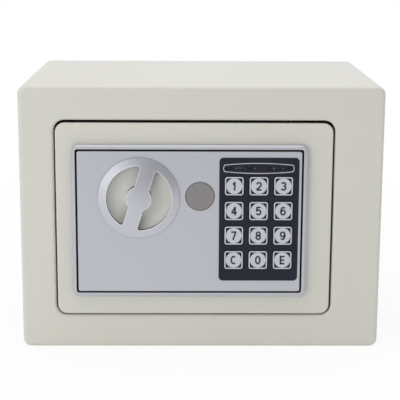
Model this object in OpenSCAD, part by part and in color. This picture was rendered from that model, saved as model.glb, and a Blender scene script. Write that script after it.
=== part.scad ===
// Small electronic in-room safe with a flush door, turning knob, keypad and emergency lock.
// Millimetres. The origin is under the middle of the overall box, +Z is up and the door faces -Y.

/* [Cabinet] */
// Width of the cabinet
safe_w = 230; // [220:1:300]
// Height of the cabinet
safe_h = 170; // [165:1:260]
// Depth of the steel shell, front face to back face
shell_d = 160; // [140:1:260]
// Thickness of the shell sheet
sheet = 1.5; // [1:0.1:2]
// Outside radius of the four long edges
corner_r = 5; // [4:0.5:8]
// Outside radius of the fold round the front face
front_fold_r = 2.5; // [2.2:0.1:3.5]
// Outside radius of the fold round the back
rear_fold_r = 5; // [3:0.5:8]
// Depth of the front frame's outer flange
front_rim_d = 12; // [8:1:20]
// Depth of the back panel's flange
back_rim_d = 10; // [9:1:20]
// Thickness of the felt mat on the floor
mat_t = 2; // [1:0.5:4]
// Gap between the mat and the walls
mat_gap = 5; // [4:0.5:12]
// Diameter of the anchor holes in base and back
anchor_d = 9; // [6:0.5:12]
// Distance between the two base anchor holes
base_anchor_pitch = 110; // [60:1:160]
// Distance between the two back anchor holes
back_anchor_pitch = 110; // [60:1:160]

/* [Door opening] */
// Width of the front frame on the bolt side
frame_left = 22; // [18:0.5:30]
// Width of the front frame on the hinge side
frame_right = 31; // [26:0.5:45]
// Height of the front frame over the door
frame_top = 21.5; // [16:0.5:30]
// Height of the front frame under the door
frame_bottom = 21.5; // [16:0.5:30]
// Corner radius of the opening
opening_r = 7; // [5:0.5:10]
// Outside radius of the fold round the opening
lip_fold_r = 2; // [1.8:0.1:3]
// Depth of the return lip round the opening
lip_d = 11; // [9:0.5:12]

/* [Door] */
// Thickness of the door plate
door_t = 3; // [2:0.5:4]
// Radius of the door plate's front edge
door_edge_r = 0.9; // [0.5:0.1:1]
// Gap on the bolt side
gap_left = 0.9; // [0.6:0.1:1.5]
// Gap on the hinge side
gap_right = 1.2; // [1.2:0.1:2]
// Gap over the door
gap_top = 1.6; // [1:0.1:2]
// Gap under the door
gap_bottom = 0.9; // [0.7:0.1:1.5]
// Hinge axis to the door's hinge-side edge
hinge_inset = 26; // [22:0.5:34]
// Diameter of the hinge pins
hinge_pin_d = 4; // [3:0.5:5]
// Thickness of the hinge tabs
hinge_tab_t = 3; // [2:0.5:3.5]
// Metal left round the hole in a hinge tab
hinge_wall = 1.5; // [1.2:0.1:3]
// Half length of a hinge tab along the door
hinge_tab_reach = 10; // [7:0.5:14]

/* [Lock cover] */
// Depth of the lock cover behind the door plate
cover_d = 32; // [30:0.5:45]
// Thickness of the cover sheet
cover_t = 1; // [0.8:0.1:1.5]
// Corner radius of the cover
cover_r = 3; // [2:0.5:6]
// Door edge to cover on the bolt side
cover_left = 8; // [6:0.5:12]
// Door edge to cover on the hinge side
cover_right = 7; // [5:0.5:12]
// Door edge to cover at top and bottom
cover_ends = 7.5; // [6.5:0.5:12]
// Diameter of the posts that carry the cover
post_d = 8; // [6:0.5:9]
// Post centre to the cover's edges
post_inset = 7; // [6:0.5:8]
// Head diameter of the cover screws
screw_head_d = 7; // [5:0.5:8]

/* [Front panel] */
// Width of the panel
panel_w = 149; // [146:0.5:152]
// Height of the panel
panel_h = 98.4; // [95:0.2:104]
// Part of the door's spare width that lies on the bolt side of the panel
panel_side_part = 0.386; // [0.2:0.001:0.8]
// Part of the door's spare height that lies under the panel
panel_low_part = 0.487; // [0.3:0.001:0.7]
// Height of the panel over the door face
panel_proud = 4.6; // [4.6:0.1:8]
// Corner radius of the panel
panel_r = 4.2; // [3.8:0.2:8]
// Width of the panel's rim
rim_w = 2.6; // [1.8:0.1:3.5]
// Width and depth of the rim's bevel
rim_bevel = 1.2; // [0.5:0.1:1.5]
// Width of the black line inside the rim
line_w = 1.3; // [0.8:0.1:2]
// Depth of the black line under the face plate
line_d = 1.5; // [0.5:0.1:2]
// Thickness of the silver face plate
face_t = 1.2; // [1:0.1:1.8]
// Corner radius of the face plate
face_r = 1.2; // [0.8:0.1:3]

/* [Knob] */
// Part of the panel's free width between its rim and the knob
knob_part = 0.606; // [0.5:0.001:0.7]
// Panel's lower edge to the knob axis
knob_up = 65; // [56:0.2:66]
// Outer diameter of the knob
knob_d = 51.4; // [48:0.1:54]
// Height of the knob's crown over the panel
knob_proud = 5.4; // [4:0.1:7]
// Height of the knob's edge over the panel
knob_edge = 0.8; // [0.4:0.1:1.5]
// Gap round the knob
knob_gap = 0.3; // [0.3:0.05:0.8]
// Outer diameter of the finger recesses
recess_d = 41.4; // [36:0.2:44]
// Diameter of the hub between the recesses
hub_d = 16; // [13:0.5:18]
// Width of the grip bar
grip_w = 9.5; // [8:0.5:12]
// Lean of the grip bar from upright at rest
grip_tilt = 17; // [0:1:45]
// Radius at the ends of the recesses
recess_end_r = 1.6; // [1:0.1:2.2]
// Overhang of the knob's edge over the panel
knob_lip = 1; // [0.6:0.1:1.4]
// Depth of the recess walls at the knob's ring
recess_wall = 3.4; // [2.4:0.1:3.6]
// Diameter of the knob spindle
spindle_d = 8; // [7:0.5:10]

/* [Keypad] */
// Part of the panel's free width between the plug and the keypad sheet
keypad_part = 0.144; // [0.1:0.001:0.2]
// Panel's lower edge to the keypad sheet
keypad_up = 11; // [7:0.1:12]
// Width of the keypad sheet
keypad_w = 50.2; // [48:0.1:51]
// Height of the keypad sheet
keypad_h = 79.7; // [78:0.1:82]
// Corner radius of the keypad sheet
keypad_r = 2.6; // [1.5:0.1:4]
// Thickness of the keypad sheet
keypad_t = 0.4; // [0.2:0.1:0.6]
// Side of a key
key_size = 12; // [10.5:0.1:12.2]
// Corner radius of a key
key_r = 1.7; // [1:0.1:3]
// Distance between columns of keys
key_pitch_x = 15.5; // [14.5:0.1:16]
// Distance between rows of keys
key_pitch_z = 16; // [14.5:0.05:16.5]
// Sheet edge to the first column
key_first_x = 9.4; // [9:0.1:10]
// Sheet's lower edge to the bottom row
key_first_z = 13.7; // [11:0.1:14]
// Height of a key over the sheet
key_proud = 0.5; // [0.5:0.1:1]
// Travel of a key
key_travel = 0.3; // [0.2:0.1:0.4]

/* [Indicator] */
// Width of the eye-shaped window
eye_w = 44; // [38:0.1:46]
// Height of the window in its middle
eye_h = 6; // [5:0.1:7.5]
// Height of the window near its ends
eye_end_h = 4.3; // [3.5:0.1:5]
// Sheet's lower edge to the middle of the window
eye_up = 73; // [72:0.1:73.5]
// Diameter of an indicator lamp
led_d = 3; // [2:0.5:3]
// Distance between the lamps
led_pitch = 11.9; // [8:0.1:15]

/* [Bolt work] */
// Diameter of the bolts
bolt_d = 12; // [8:0.5:13]
// Ends of the lock cover to the bolts
bolt_ends = 24.75; // [22:0.25:28]
// Door plate to the plane of the bolts
bolt_back = 17; // [15:0.5:18]
// Opening edge to the tips of the drawn bolts
bolt_tip_gap = 3; // [2.5:0.1:4]
// Thickness of the bolt carriage
carriage_t = 3; // [2:0.5:3.5]
// Radius of the crank
crank_r = 9.5; // [8:0.5:11]
// Turn of the knob that throws the bolts
crank_swing = 90; // [70:5:100]
// Diameter of the crank pin
crank_pin_d = 5; // [4:0.5:6]
// Clearance each side of the crank pin
crank_slot_gap = 0.65; // [0.6:0.05:1]
// Diameter of the carriage guide studs
stud_d = 5; // [4:0.5:6]

/* [Release] */
// Part of the panel's free width between the knob and the plug
plug_part = 0.176; // [0.1:0.001:0.2]
// Diameter of the plug over the keyhole
plug_d = 18; // [17.5:0.1:19.5]
// Lock axis over the knob axis
lock_rise = 0.9; // [0:0.1:1.5]
// Barrel diameter of the emergency lock
barrel_d = 12; // [11:0.5:13]
// Core diameter of the emergency lock
core_d = 8; // [7:0.5:9]
// Eccentric of the lift cam's pin
lift_r = 2.83; // [2:0.01:3]
// Diameter of the lift cam's pin
lift_pin_d = 2.5; // [2:0.1:3]
// Diameter of the plunger
plunger_d = 6; // [5:0.5:7]
// Outer diameter of the coil
coil_d = 18; // [15:0.5:19]
// Length of the coil
coil_l = 20; // [16:0.5:21]

/* [Power] */
// Diameter of a battery cell
cell_d = 14.5; // [14:0.1:14.6]
// Length of a battery cell
cell_l = 50.5; // [48:0.1:50.6]
// Wall of the battery box
bay_wall = 1.2; // [0.8:0.1:1.5]
// Diameter of the reset button
reset_d = 6; // [4:0.5:8]
// Travel of the reset button
reset_travel = 1.2; // [0.5:0.1:1.5]

/* [Clearances] */
// Radial clearance of a turning or sliding fit
run_fit = 0.05; // [0.02:0.01:0.1]
// Clearance between pieces that move past each other
move_gap = 0.3; // [0.3:0.05:0.4]
// Clearance between pieces that are fitted together
seat_gap = 0.05; // [0.02:0.01:0.1]

/* [Hidden] */
$fn = 48;
fine_fn = 96;
dome_fn = 720;
over = 1;

// Depth levels, front to back
total_d = shell_d + panel_proud + knob_proud;
y_front = panel_proud + knob_proud - total_d / 2;
y_back = total_d / 2;
y_panel = y_front - panel_proud;
y_face_back = y_panel + face_t;
y_door_back = y_front + door_t;
y_cover = y_door_back + cover_d;
y_cover_in = y_cover - cover_t;
bolt_y = y_door_back + bolt_back;
y_mid = (y_front + front_rim_d + y_back - back_rim_d) / 2;

// Opening, door, lock cover and panel outlines
open_x0 = frame_left - safe_w / 2;
open_x1 = safe_w / 2 - frame_right;
open_z0 = frame_bottom;
open_z1 = safe_h - frame_top;
open_w = open_x1 - open_x0;
open_h = open_z1 - open_z0;
open_x = (open_x0 + open_x1) / 2;
open_z = (open_z0 + open_z1) / 2;
door_x0 = open_x0 + gap_left;
door_x1 = open_x1 - gap_right;
door_z0 = open_z0 + gap_bottom;
door_z1 = open_z1 - gap_top;
door_r = opening_r - gap_left;
door_w = door_x1 - door_x0;
door_h = door_z1 - door_z0;
cover_x0 = door_x0 + cover_left;
cover_x1 = door_x1 - cover_right;
cover_z0 = door_z0 + cover_ends;
cover_z1 = door_z1 - cover_ends;
panel_x0 = door_x0 + (door_w - panel_w) * panel_side_part;
panel_z0 = door_z0 + (door_h - panel_h) * panel_low_part;
panel_x = panel_x0 + panel_w / 2;
panel_z = panel_z0 + panel_h / 2;
rear_fold = min(rear_fold_r, corner_r);
screw_d = 4;
screw_l = 8;
screw_head_t = 2.2;
panel_screw_d = 3;
panel_screw_l = 3;
panel_screw_head_t = 1.6;
panel_screw_in_x = 20;
panel_screw_in_z = 7.5;
wire_hole_d = 10;

// Hinge
hinge_x = door_x1 - hinge_inset;
hinge_y = y_door_back + hinge_pin_d / 2 + hinge_wall;
tab_drop = 0.4;
tab_top_z0 = door_z1 - tab_drop - hinge_tab_t;
tab_low_z0 = door_z0 + tab_drop;
pin_over = 1;
pin_head_t = 2;
pin_head_d = hinge_pin_d + 4;
washer_d = 2 * (hinge_y - y_door_back - move_gap);

// Knob axis, lock axis and crank
panel_free_w = panel_w - 2 * (rim_w + line_w) - knob_d - plug_d - keypad_w;
knob_x = panel_x0 + rim_w + line_w + panel_free_w * knob_part + knob_d / 2;
knob_z = panel_z0 + knob_up;
lock_z = knob_z + lock_rise;
lock_x = knob_x + knob_d / 2 + panel_free_w * plug_part + plug_d / 2;
crank_t = 4;
crank_y = y_door_back + 6;
spindle_key = spindle_d * 0.7;
clip_t = 1;
crank_pin_x = knob_x + crank_r * sin(crank_swing / 2);
crank_pin_z = knob_z + crank_r * cos(crank_swing / 2);
throw = 2 * crank_r * sin(crank_swing / 2);
crank_boss_d = crank_pin_d + 5;
crank_arm_w = crank_boss_d - 2;
crank_hub_w = 5;
crank_pin_end = bolt_y + carriage_t / 2 + over;
bush_d = spindle_d + 4;
bush_flange_t = 1.5;

// Knob dome and its finger trough, as heights over the door face
knob_r = knob_d / 2;
dome_top = panel_proud + knob_proud;
dome_rise = knob_proud - knob_edge;
dome_r = (knob_r * knob_r + dome_rise * dome_rise) / (2 * dome_rise);
dome_mid = dome_top - dome_r;
knob_neck_r = knob_r - knob_lip;
knob_hole_d = 2 * (knob_neck_r + knob_gap);
spindle_top = dome_top - 2.8;
recess_r = recess_d / 2;
ring_top = dome_mid + sqrt(dome_r * dome_r - recess_r * recess_r);
wall_foot = ring_top - recess_wall;
dish_foot = 0.5;
trough_floor = dish_foot + 0.6;
trough_mid_r = (recess_r + hub_d / 2) / 2;
trough_half = (recess_r - hub_d / 2) / 2;
trough_depth = wall_foot - trough_floor;
trough_r = (trough_half * trough_half + trough_depth * trough_depth) / (2 * trough_depth);
trough_h = trough_floor + trough_r;

// Bolt work
bolt_mid_z = (cover_z0 + cover_z1) / 2;
bolt_z = [cover_z0 + bolt_ends, cover_z1 - bolt_ends];
bolt_tip_x = open_x0 + bolt_tip_gap;
guide_t = 3;
guide_x0 = cover_x0 + cover_t + over;
guide_side = bolt_d / 2 + 4;
carriage_x0 = guide_x0 + guide_t + throw + 3.5;
carriage_x1 = crank_pin_x + crank_pin_d / 2 + crank_slot_gap + 4;
carriage_y = bolt_y - carriage_t / 2;
tenon_d = bolt_d / 2;
stud_x = carriage_x0 + carriage_t + 3 + stud_d / 2;
stud_rows = [bolt_z[0] + bolt_d, bolt_z[1] + bolt_d / 2];
stud_head_t = 2;
stud_head_d = stud_d + 4;
guide_foot = 30;

// Electric release and emergency lock
lift_h = lift_r * sqrt(2);
cam_d = 2 * lift_r + lift_pin_d + 4;
cam_t = 2.2;
cam_y = bolt_y - carriage_t / 2 - 0.8;
frame_t = 2;
link_drop = 6.6;
coil_z1 = lock_z - cam_d / 2 - lift_h - link_drop;
coil_z0 = coil_z1 - coil_l;
spring_room = 10;
tongue_z1 = coil_z0 - frame_t - spring_room;
tongue_h = 10;
tongue_past = 7;
tongue_x1 = lock_x + tongue_past;
plunger_z0 = tongue_z1 + move_gap;
collar_t = 1;
collar_w = 2;
collar_d = plunger_d + 2 * collar_w;
plunger_tip = 1.2;
spring_z0 = plunger_z0 + plunger_tip + collar_t;
spring_z1 = coil_z0 - frame_t;
solenoid_w = coil_d + 4;
solenoid_foot = 6;
spring_wire = 0.8;
spring_r = plunger_d / 2 + 1;
spring_turns = 4;
turn_rings = 12;
wire_sides = 6;
spring_rings = spring_turns * turn_rings;
spring_rise = spring_z1 - spring_z0 - spring_wire;
link_w = cam_d + 4;
link_z0 = coil_z1 + frame_t + 1;
link_pin_x = lock_x - lift_r / sqrt(2);
link_pin_z = lock_z - lift_r / sqrt(2);
link_z1 = link_pin_z + lift_pin_d / 2 + move_gap + 3;
flange_d = barrel_d + 4;
flange_t = 1;
nut_t = 3;
lift_pin_end = bolt_y + carriage_t / 2 + over;
plug_proud = 0.4;
plug_edge = 0.3;
plug_lip_t = 1.5;
plug_skirt_t = 1;

// Battery bay and reset switch
cell_gap = 0.5;
contact_room = 3;
cells = 4;
bay_l = cell_l + 2 * contact_room;
bay_h = cells * (cell_d + cell_gap) + cell_gap;
bay_d = cell_d + 2.4;
bay_x1 = cover_x1 - cover_t - 0.6 - bay_wall;
bay_x = bay_x1 - bay_l / 2;
bay_z0 = cover_z0 + post_inset + post_d / 2 + 2 + bay_wall;
bay_z = bay_z0 + bay_h / 2;
cell_y = y_cover_in - bay_d + cell_d / 2 + cell_gap;
nub_l = 1.5;
leaf_t = 0.5;
lid_t = 2;
lid_proud = 0.4;
reset_x = bay_x - bay_l / 4;
switch_w = 2 * reset_d;
switch_gap = 1.5;
reset_z = bay_z0 + bay_h + bay_wall + switch_gap + switch_w / 2;
reset_proud = 1.6;
switch_d = 9;
reset_hold = switch_d - reset_travel - move_gap - over;

// Keypad stack, from the board at the back to the key faces
pocket_margin = 2;
pocket_wall = 0.5;
board_t = 1;
dome_t = 0.4;
board_y = y_front - pocket_wall - board_t;
key_flange_t = 0.5;
key_flange_w = key_size + 1.4;
key_flange_y = y_face_back + move_gap + key_flange_t;
stem_d = 4;
key_dome_r = 3.5;
buzzer_d = 5;
buzzer_t = board_y - key_flange_y - key_travel - move_gap;
board_slot_d = 8;
stem_y = board_y - dome_t - key_travel - move_gap;
keypad_x0 = lock_x + plug_d / 2 + panel_free_w * keypad_part;
keypad_z0 = panel_z0 + keypad_up;
keypad_x = keypad_x0 + keypad_w / 2;
keypad_z = keypad_z0 + keypad_h / 2;
y_sheet = y_panel - keypad_t;
eye_z = keypad_z0 + eye_up;
eye_half = eye_w / 2 - eye_h / 2;
eye_bow = (eye_h - eye_end_h) / 2;
eye_arc_r = (eye_half * eye_half + eye_bow * eye_bow) / (2 * eye_bow);
eye_flat = 0.1;
lens_t = 1.2;
led_gap = 0.3;

// Key names with column and row, counted from the lower left
KEYS = [
    ["key_c", 0, 0], ["key_0", 1, 0], ["key_e", 2, 0],
    ["key_7", 0, 1], ["key_8", 1, 1], ["key_9", 2, 1],
    ["key_4", 0, 2], ["key_5", 1, 2], ["key_6", 2, 2],
    ["key_1", 0, 3], ["key_2", 1, 3], ["key_3", 2, 3]
];

// Colours
cream = [0.81, 0.81, 0.775];
silver = [0.75, 0.755, 0.78];
jet = [0.05, 0.05, 0.06];
navy = [0.15, 0.16, 0.21];
plug_grey = [0.51, 0.51, 0.505];
zinc = [0.68, 0.68, 0.66];
steel = [0.62, 0.63, 0.64];
brass = [0.78, 0.64, 0.32];
felt = [0.16, 0.16, 0.17];

// Rounded rectangle about the origin
module rounded(w, h, r) {
    square([w - 2 * r, h], center = true);
    square([w, h - 2 * r], center = true);
    for (sx = [-1, 1], sz = [-1, 1])
        translate([sx * (w / 2 - r), sz * (h / 2 - r)]) circle(r);
}

// A flat outline in x and z, given thickness t towards the front from its rear plane
module slab(x, z, y_rear, t) {
    translate([x, y_rear, z]) rotate([90, 0, 0]) linear_extrude(t) children();
}

// A round bar of length l towards the front from its rear end
module bar_y(x, z, y_rear, l, d) {
    translate([x, y_rear, z]) rotate([90, 0, 0]) cylinder(d = d, h = l);
}

// A round bar of length l towards +X from its left end
module bar_x(x, y, z, l, d) {
    translate([x, y, z]) rotate([0, 90, 0]) cylinder(d = d, h = l);
}

// A profile of radius and height turned about an axis that points to the front
module turned_y(x, z, y_rear) {
    translate([x, y_rear, z]) rotate([90, 0, 0]) rotate_extrude($fn = fine_fn) children();
}

// A profile of outward offset and depth carried round a rounded rectangle
module carried_round(w, h, r) {
    for (i = [0 : 3]) {
        across = i % 2 == 0 ? w : h;
        along = i % 2 == 0 ? h : w;
        rotate([0, -90 * i, 0]) {
            translate([across / 2, 0, r - along / 2]) linear_extrude(along - 2 * r) children();
            translate([across / 2 - r, 0, r - along / 2]) rotate([-90, 0, 0])
                rotate_extrude(angle = 90) intersection() {
                    translate([r, 0]) children();
                    translate([0, -safe_w]) square(2 * safe_w);
                }
        }
    }
}

// Quarter ring of a sheet bent to an outside radius, with the bend centre at the origin
module bend(outer_r) {
    intersection() {
        difference() {
            circle(outer_r);
            circle(outer_r - sheet);
        }
        translate([0, -outer_r]) square(outer_r);
    }
}

// Section of a pan's edge: face, bend and flange
module pan_edge(fold, depth) {
    translate([-sheet, fold]) square([sheet, depth - fold]);
    translate([-fold, fold]) bend(fold);
    if (corner_r > fold) translate([-corner_r, 0]) square([corner_r - fold, sheet]);
}

// Shallow sheet pan the size of the cabinet, with its face at y = 0 and its flange behind
module sheet_pan(fold, depth) {
    translate([0, 0, safe_h / 2]) carried_round(safe_w, safe_h, corner_r) pan_edge(fold, depth);
    translate([corner_r - safe_w / 2, 0, corner_r])
        cube([safe_w - 2 * corner_r, sheet, safe_h - 2 * corner_r]);
}

// Section of the return lip round the door opening
module lip_edge() {
    translate([0, lip_fold_r]) square([sheet, lip_d - lip_fold_r]);
    translate([lip_fold_r, lip_fold_r]) mirror([1, 0]) bend(lip_fold_r);
}

module front_frame() {
    color(cream) difference() {
        union() {
            difference() {
                translate([0, y_front, 0]) sheet_pan(front_fold_r, front_rim_d);
                slab(open_x, open_z, y_front + sheet + over, sheet + 2 * over)
                    rounded(open_w + 2 * lip_fold_r, open_h + 2 * lip_fold_r, opening_r + lip_fold_r);
            }
            translate([open_x, y_front, open_z]) carried_round(open_w, open_h, opening_r) lip_edge();
        }
        for (z = [open_z0 - sheet - over, open_z1 - over])
            translate([hinge_x, hinge_y, z])
                cylinder(d = hinge_pin_d + 2 * seat_gap, h = sheet + 2 * over);
    }
}

module body_wrap() {
    color(cream) difference() {
        slab(0, safe_h / 2, y_back - back_rim_d, shell_d - front_rim_d - back_rim_d) difference() {
            rounded(safe_w, safe_h, corner_r);
            rounded(safe_w - 2 * sheet, safe_h - 2 * sheet, corner_r - sheet);
        }
        base_anchors(sheet, 0);
    }
}

// The two base anchor holes through a layer of thickness t from height z
module base_anchors(t, z) {
    for (sx = [-1, 1])
        translate([sx * base_anchor_pitch / 2, y_mid, z - over]) cylinder(d = anchor_d, h = t + 2 * over);
}

module back_panel() {
    color(cream) difference() {
        translate([0, y_back, 0]) mirror([0, 1, 0]) sheet_pan(rear_fold, back_rim_d);
        for (sx = [-1, 1])
            bar_y(sx * back_anchor_pitch / 2, safe_h / 2, y_back + over, sheet + 2 * over, anchor_d);
    }
}

module floor_mat() {
    mat_w = safe_w - 2 * (sheet + mat_gap);
    mat_l = shell_d - front_rim_d - back_rim_d - 2 * mat_gap;
    color(felt) difference() {
        translate([0, y_mid, sheet]) linear_extrude(mat_t) rounded(mat_w, mat_l, mat_gap);
        base_anchors(mat_t, sheet);
    }
}

module hinge_pins() {
    top_z0 = tab_top_z0 - pin_over;
    low_z1 = tab_low_z0 + hinge_tab_t + pin_over;
    color(zinc) translate([hinge_x, hinge_y, 0]) {
        translate([0, 0, top_z0]) cylinder(d = hinge_pin_d, h = open_z1 + sheet - top_z0);
        translate([0, 0, open_z1 + sheet]) cylinder(d = pin_head_d, h = pin_head_t);
        translate([0, 0, open_z0 - sheet]) cylinder(d = hinge_pin_d, h = low_z1 - open_z0 + sheet);
        translate([0, 0, open_z0 - sheet - pin_head_t]) cylinder(d = pin_head_d, h = pin_head_t);
        translate([0, 0, open_z0]) cylinder(d = washer_d, h = tab_low_z0 - move_gap - open_z0);
    }
}

// Section of the door plate's edge, with its front corner rounded
module door_edge() {
    translate([-door_r, 0]) square([door_r - door_edge_r, door_t]);
    translate([-door_edge_r, door_edge_r]) square([door_edge_r, door_t - door_edge_r]);
    translate([-door_edge_r, door_edge_r]) circle(door_edge_r);
}

module door_plate() {
    color(cream) difference() {
        union() {
            translate([door_x0 + door_w / 2, y_front, door_z0 + door_h / 2])
                carried_round(door_w, door_h, door_r) door_edge();
            translate([door_x0 + door_r, y_front, door_z0 + door_r])
                cube([door_w - 2 * door_r, door_t, door_h - 2 * door_r]);
        }
        bar_y(knob_x, knob_z, y_door_back + over, door_t + 2 * over, bush_d + 2 * seat_gap);
        bar_y(lock_x, lock_z, y_door_back + over, door_t + 2 * over, barrel_d + 2 * seat_gap);
        bar_y(keypad_x, keypad_z, y_door_back + over, door_t + 2 * over, wire_hole_d);
        panel_screw_places()
            bar_y(0, 0, y_door_back + over, door_t + 2 * over, panel_screw_d + 2 * seat_gap);
    }
}

// One hinge tab with its pin hole, standing on the door plate
module hinge_tab(z) {
    tab_r = hinge_pin_d / 2 + hinge_wall;
    translate([hinge_x, hinge_y, z]) linear_extrude(hinge_tab_t) difference() {
        union() {
            translate([-hinge_tab_reach, y_door_back - hinge_y])
                square([2 * hinge_tab_reach, hinge_y - y_door_back]);
            translate([-hinge_tab_reach + tab_r, 0]) square([2 * (hinge_tab_reach - tab_r), tab_r]);
            for (sx = [-1, 1]) translate([sx * (hinge_tab_reach - tab_r), 0]) circle(tab_r);
        }
        circle(d = hinge_pin_d + 2 * run_fit);
    }
}

module hinge_tabs() {
    color(zinc) {
        hinge_tab(tab_top_z0);
        hinge_tab(tab_low_z0);
    }
}

// Places children at the four corners that carry the lock cover
module cover_corners() {
    for (x = [cover_x0 + post_inset, cover_x1 - post_inset])
        for (z = [cover_z0 + post_inset, cover_z1 - post_inset])
            translate([x, 0, z]) children();
}

module lock_cover() {
    cover_w = cover_x1 - cover_x0;
    cover_h = cover_z1 - cover_z0;
    cx = (cover_x0 + cover_x1) / 2;
    cz = (cover_z0 + cover_z1) / 2;
    color(cream) difference() {
        slab(cx, cz, y_cover, cover_d) rounded(cover_w, cover_h, cover_r);
        slab(cx, cz, y_cover_in, cover_d)
            rounded(cover_w - 2 * cover_t, cover_h - 2 * cover_t, cover_r - cover_t);
        for (z = bolt_z) bar_x(cover_x0 - over, bolt_y, z, cover_t + 2 * over, bolt_d + 2 * move_gap);
        slab(bay_x, bay_z, y_cover + over, cover_t + 2 * over) square([bay_l, bay_h], center = true);
        bar_y(reset_x, reset_z, y_cover + over, cover_t + 2 * over, reset_d + 2 * move_gap);
        cover_corners() bar_y(0, 0, y_cover + over, cover_t + 2 * over, screw_d + 2 * seat_gap);
    }
}

module cover_posts() {
    color(zinc) cover_corners() difference() {
        bar_y(0, 0, y_cover_in, cover_d - cover_t, post_d);
        bar_y(0, 0, y_cover_in + over, screw_l + over, screw_d);
    }
}

module cover_screws() {
    color(steel) cover_corners() {
        bar_y(0, 0, y_cover, cover_t + screw_l - over, screw_d);
        difference() {
            turned_y(0, 0, y_cover) intersection() {
                translate([0, screw_head_d / 2 - screw_head_t]) circle(d = screw_head_d);
                translate([0, -screw_head_t]) square([screw_head_d, screw_head_t]);
            }
            for (a = [0, 90]) translate([0, y_cover + screw_head_t, 0]) rotate([0, a, 0])
                cube([screw_head_d * 0.6, screw_head_t, 1], center = true);
        }
    }
}

module panel_frame() {
    color(silver) translate([panel_x, y_panel, panel_z]) carried_round(panel_w, panel_h, panel_r)
        polygon([
            [-rim_w, 0], [-rim_bevel, 0], [0, rim_bevel], [0, panel_proud], [-rim_w, panel_proud]
        ]);
}

module panel_base() {
    base_w = panel_w - 2 * (rim_w + seat_gap);
    base_h = panel_h - 2 * (rim_w + seat_gap);
    base_t = panel_proud - face_t;
    color(jet) difference() {
        slab(panel_x, panel_z, y_front, base_t) rounded(base_w, base_h, panel_r - rim_w - seat_gap);
        slab(panel_x, panel_z, y_face_back + line_d, line_d + over) difference() {
            square([panel_w, panel_h], center = true);
            face_outline();
        }
        bar_y(knob_x, knob_z, y_front + over, base_t + 2 * over, knob_hole_d + over);
        bar_y(lock_x, lock_z, y_front + over, base_t + 2 * over, plug_d + 2 * move_gap);
        slab(keypad_x, keypad_z, y_front - pocket_wall, base_t) pocket_outline(0);
        bar_y(keypad_x, keypad_z, y_front + over, pocket_wall + 2 * over, wire_hole_d);
        panel_screw_places()
            bar_y(0, 0, y_front + over, over + panel_screw_l + seat_gap, panel_screw_d + 2 * seat_gap);
    }
}

// Outline of the pocket behind the keypad, drawn in by gap
module pocket_outline(gap) {
    rounded(keypad_w - 2 * (pocket_margin + gap), keypad_h - 2 * (pocket_margin + gap), keypad_r);
}

// Places children at the four screws that hold the panel
module panel_screw_places() {
    half_w = panel_w / 2 - panel_screw_in_x;
    half_h = panel_h / 2 - panel_screw_in_z;
    beside_studs = stud_x - stud_head_d / 2 - panel_screw_d - move_gap;
    columns = [min(panel_x - half_w, beside_studs), panel_x + half_w];
    for (x = columns, z = [panel_z - half_h, panel_z + half_h])
        translate([x, 0, z]) children();
}

module panel_screws() {
    color(steel) panel_screw_places() {
        bar_y(0, 0, y_door_back, door_t + panel_screw_l, panel_screw_d);
        bar_y(0, 0, y_door_back + panel_screw_head_t, panel_screw_head_t, panel_screw_d * 2);
    }
}

// Middle of a key, in x and z
function key_middle(column, row) = [
    keypad_x0 + key_first_x + column * key_pitch_x,
    keypad_z0 + key_first_z + row * key_pitch_z
];

// Places children at each key
module key_place(column, row) {
    middle = key_middle(column, row);
    translate([middle[0], 0, middle[1]]) children();
}

// Windows for the keys and the indicator, in x and z
module keypad_windows() {
    for (k = KEYS)
        translate(key_middle(k[1], k[2]))
            rounded(key_size + 2 * move_gap, key_size + 2 * move_gap, key_r + move_gap);
    translate([keypad_x, eye_z]) eye_outline(seat_gap);
}

// Eye-shaped window: two shallow arcs with round ends, let out by gap
module eye_outline(gap) {
    intersection() {
        translate([0, eye_h / 2 - eye_arc_r]) circle(eye_arc_r + gap, $fn = dome_fn);
        translate([0, eye_arc_r - eye_h / 2]) circle(eye_arc_r + gap, $fn = dome_fn);
        rounded(eye_w + 2 * gap, eye_h + 2 * gap, eye_h / 2 - eye_flat + gap);
    }
}

// Outline of the face plate, inside the black line
module face_outline() {
    rounded(panel_w - 2 * (rim_w + line_w), panel_h - 2 * (rim_w + line_w), face_r);
}

module face_plate() {
    color(silver) difference() {
        slab(panel_x, panel_z, y_face_back, face_t) face_outline();
        bar_y(knob_x, knob_z, y_face_back + over, face_t + 2 * over, knob_hole_d);
        bar_y(lock_x, lock_z, y_face_back + over, face_t + 2 * over, plug_d + 2 * move_gap);
        slab(0, 0, y_face_back + over, face_t + 2 * over) keypad_windows();
    }
}

module keypad_sheet() {
    color(navy) slab(0, 0, y_panel, keypad_t) difference() {
        translate([keypad_x, keypad_z]) rounded(keypad_w, keypad_h, keypad_r);
        keypad_windows();
    }
}

module indicator_lens() {
    color(navy) slab(keypad_x, eye_z, y_sheet + lens_t, lens_t) eye_outline(0);
}

// One indicator lamp on the board: flange, body and round nose
module lamp(place) {
    lamp_l = board_y - (y_sheet + lens_t) - led_gap;
    nose = led_d / 2;
    turned_y(keypad_x + (place - 1) * led_pitch, eye_z, board_y) {
        square([led_d / 2 + 0.4, 0.6]);
        square([led_d / 2, lamp_l - nose]);
        intersection() {
            translate([0, lamp_l - nose]) circle(nose);
            square([nose, lamp_l]);
        }
    }
}

module led_yellow() color("yellow") lamp(0);
module led_red() color("red") lamp(1);
module led_green() color("green") lamp(2);

module keypad_board() {
    color("darkgreen") slab(keypad_x, keypad_z, y_front - pocket_wall, board_t) difference() {
        pocket_outline(move_gap);
        circle(d = board_slot_d);
    }
}

module key_domes() {
    color(steel) for (k = KEYS) key_place(k[1], k[2]) turned_y(0, 0, board_y)
        polygon([[0, 0], [key_dome_r, 0], [key_dome_r * 0.6, dome_t], [0, dome_t]]);
}

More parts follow.
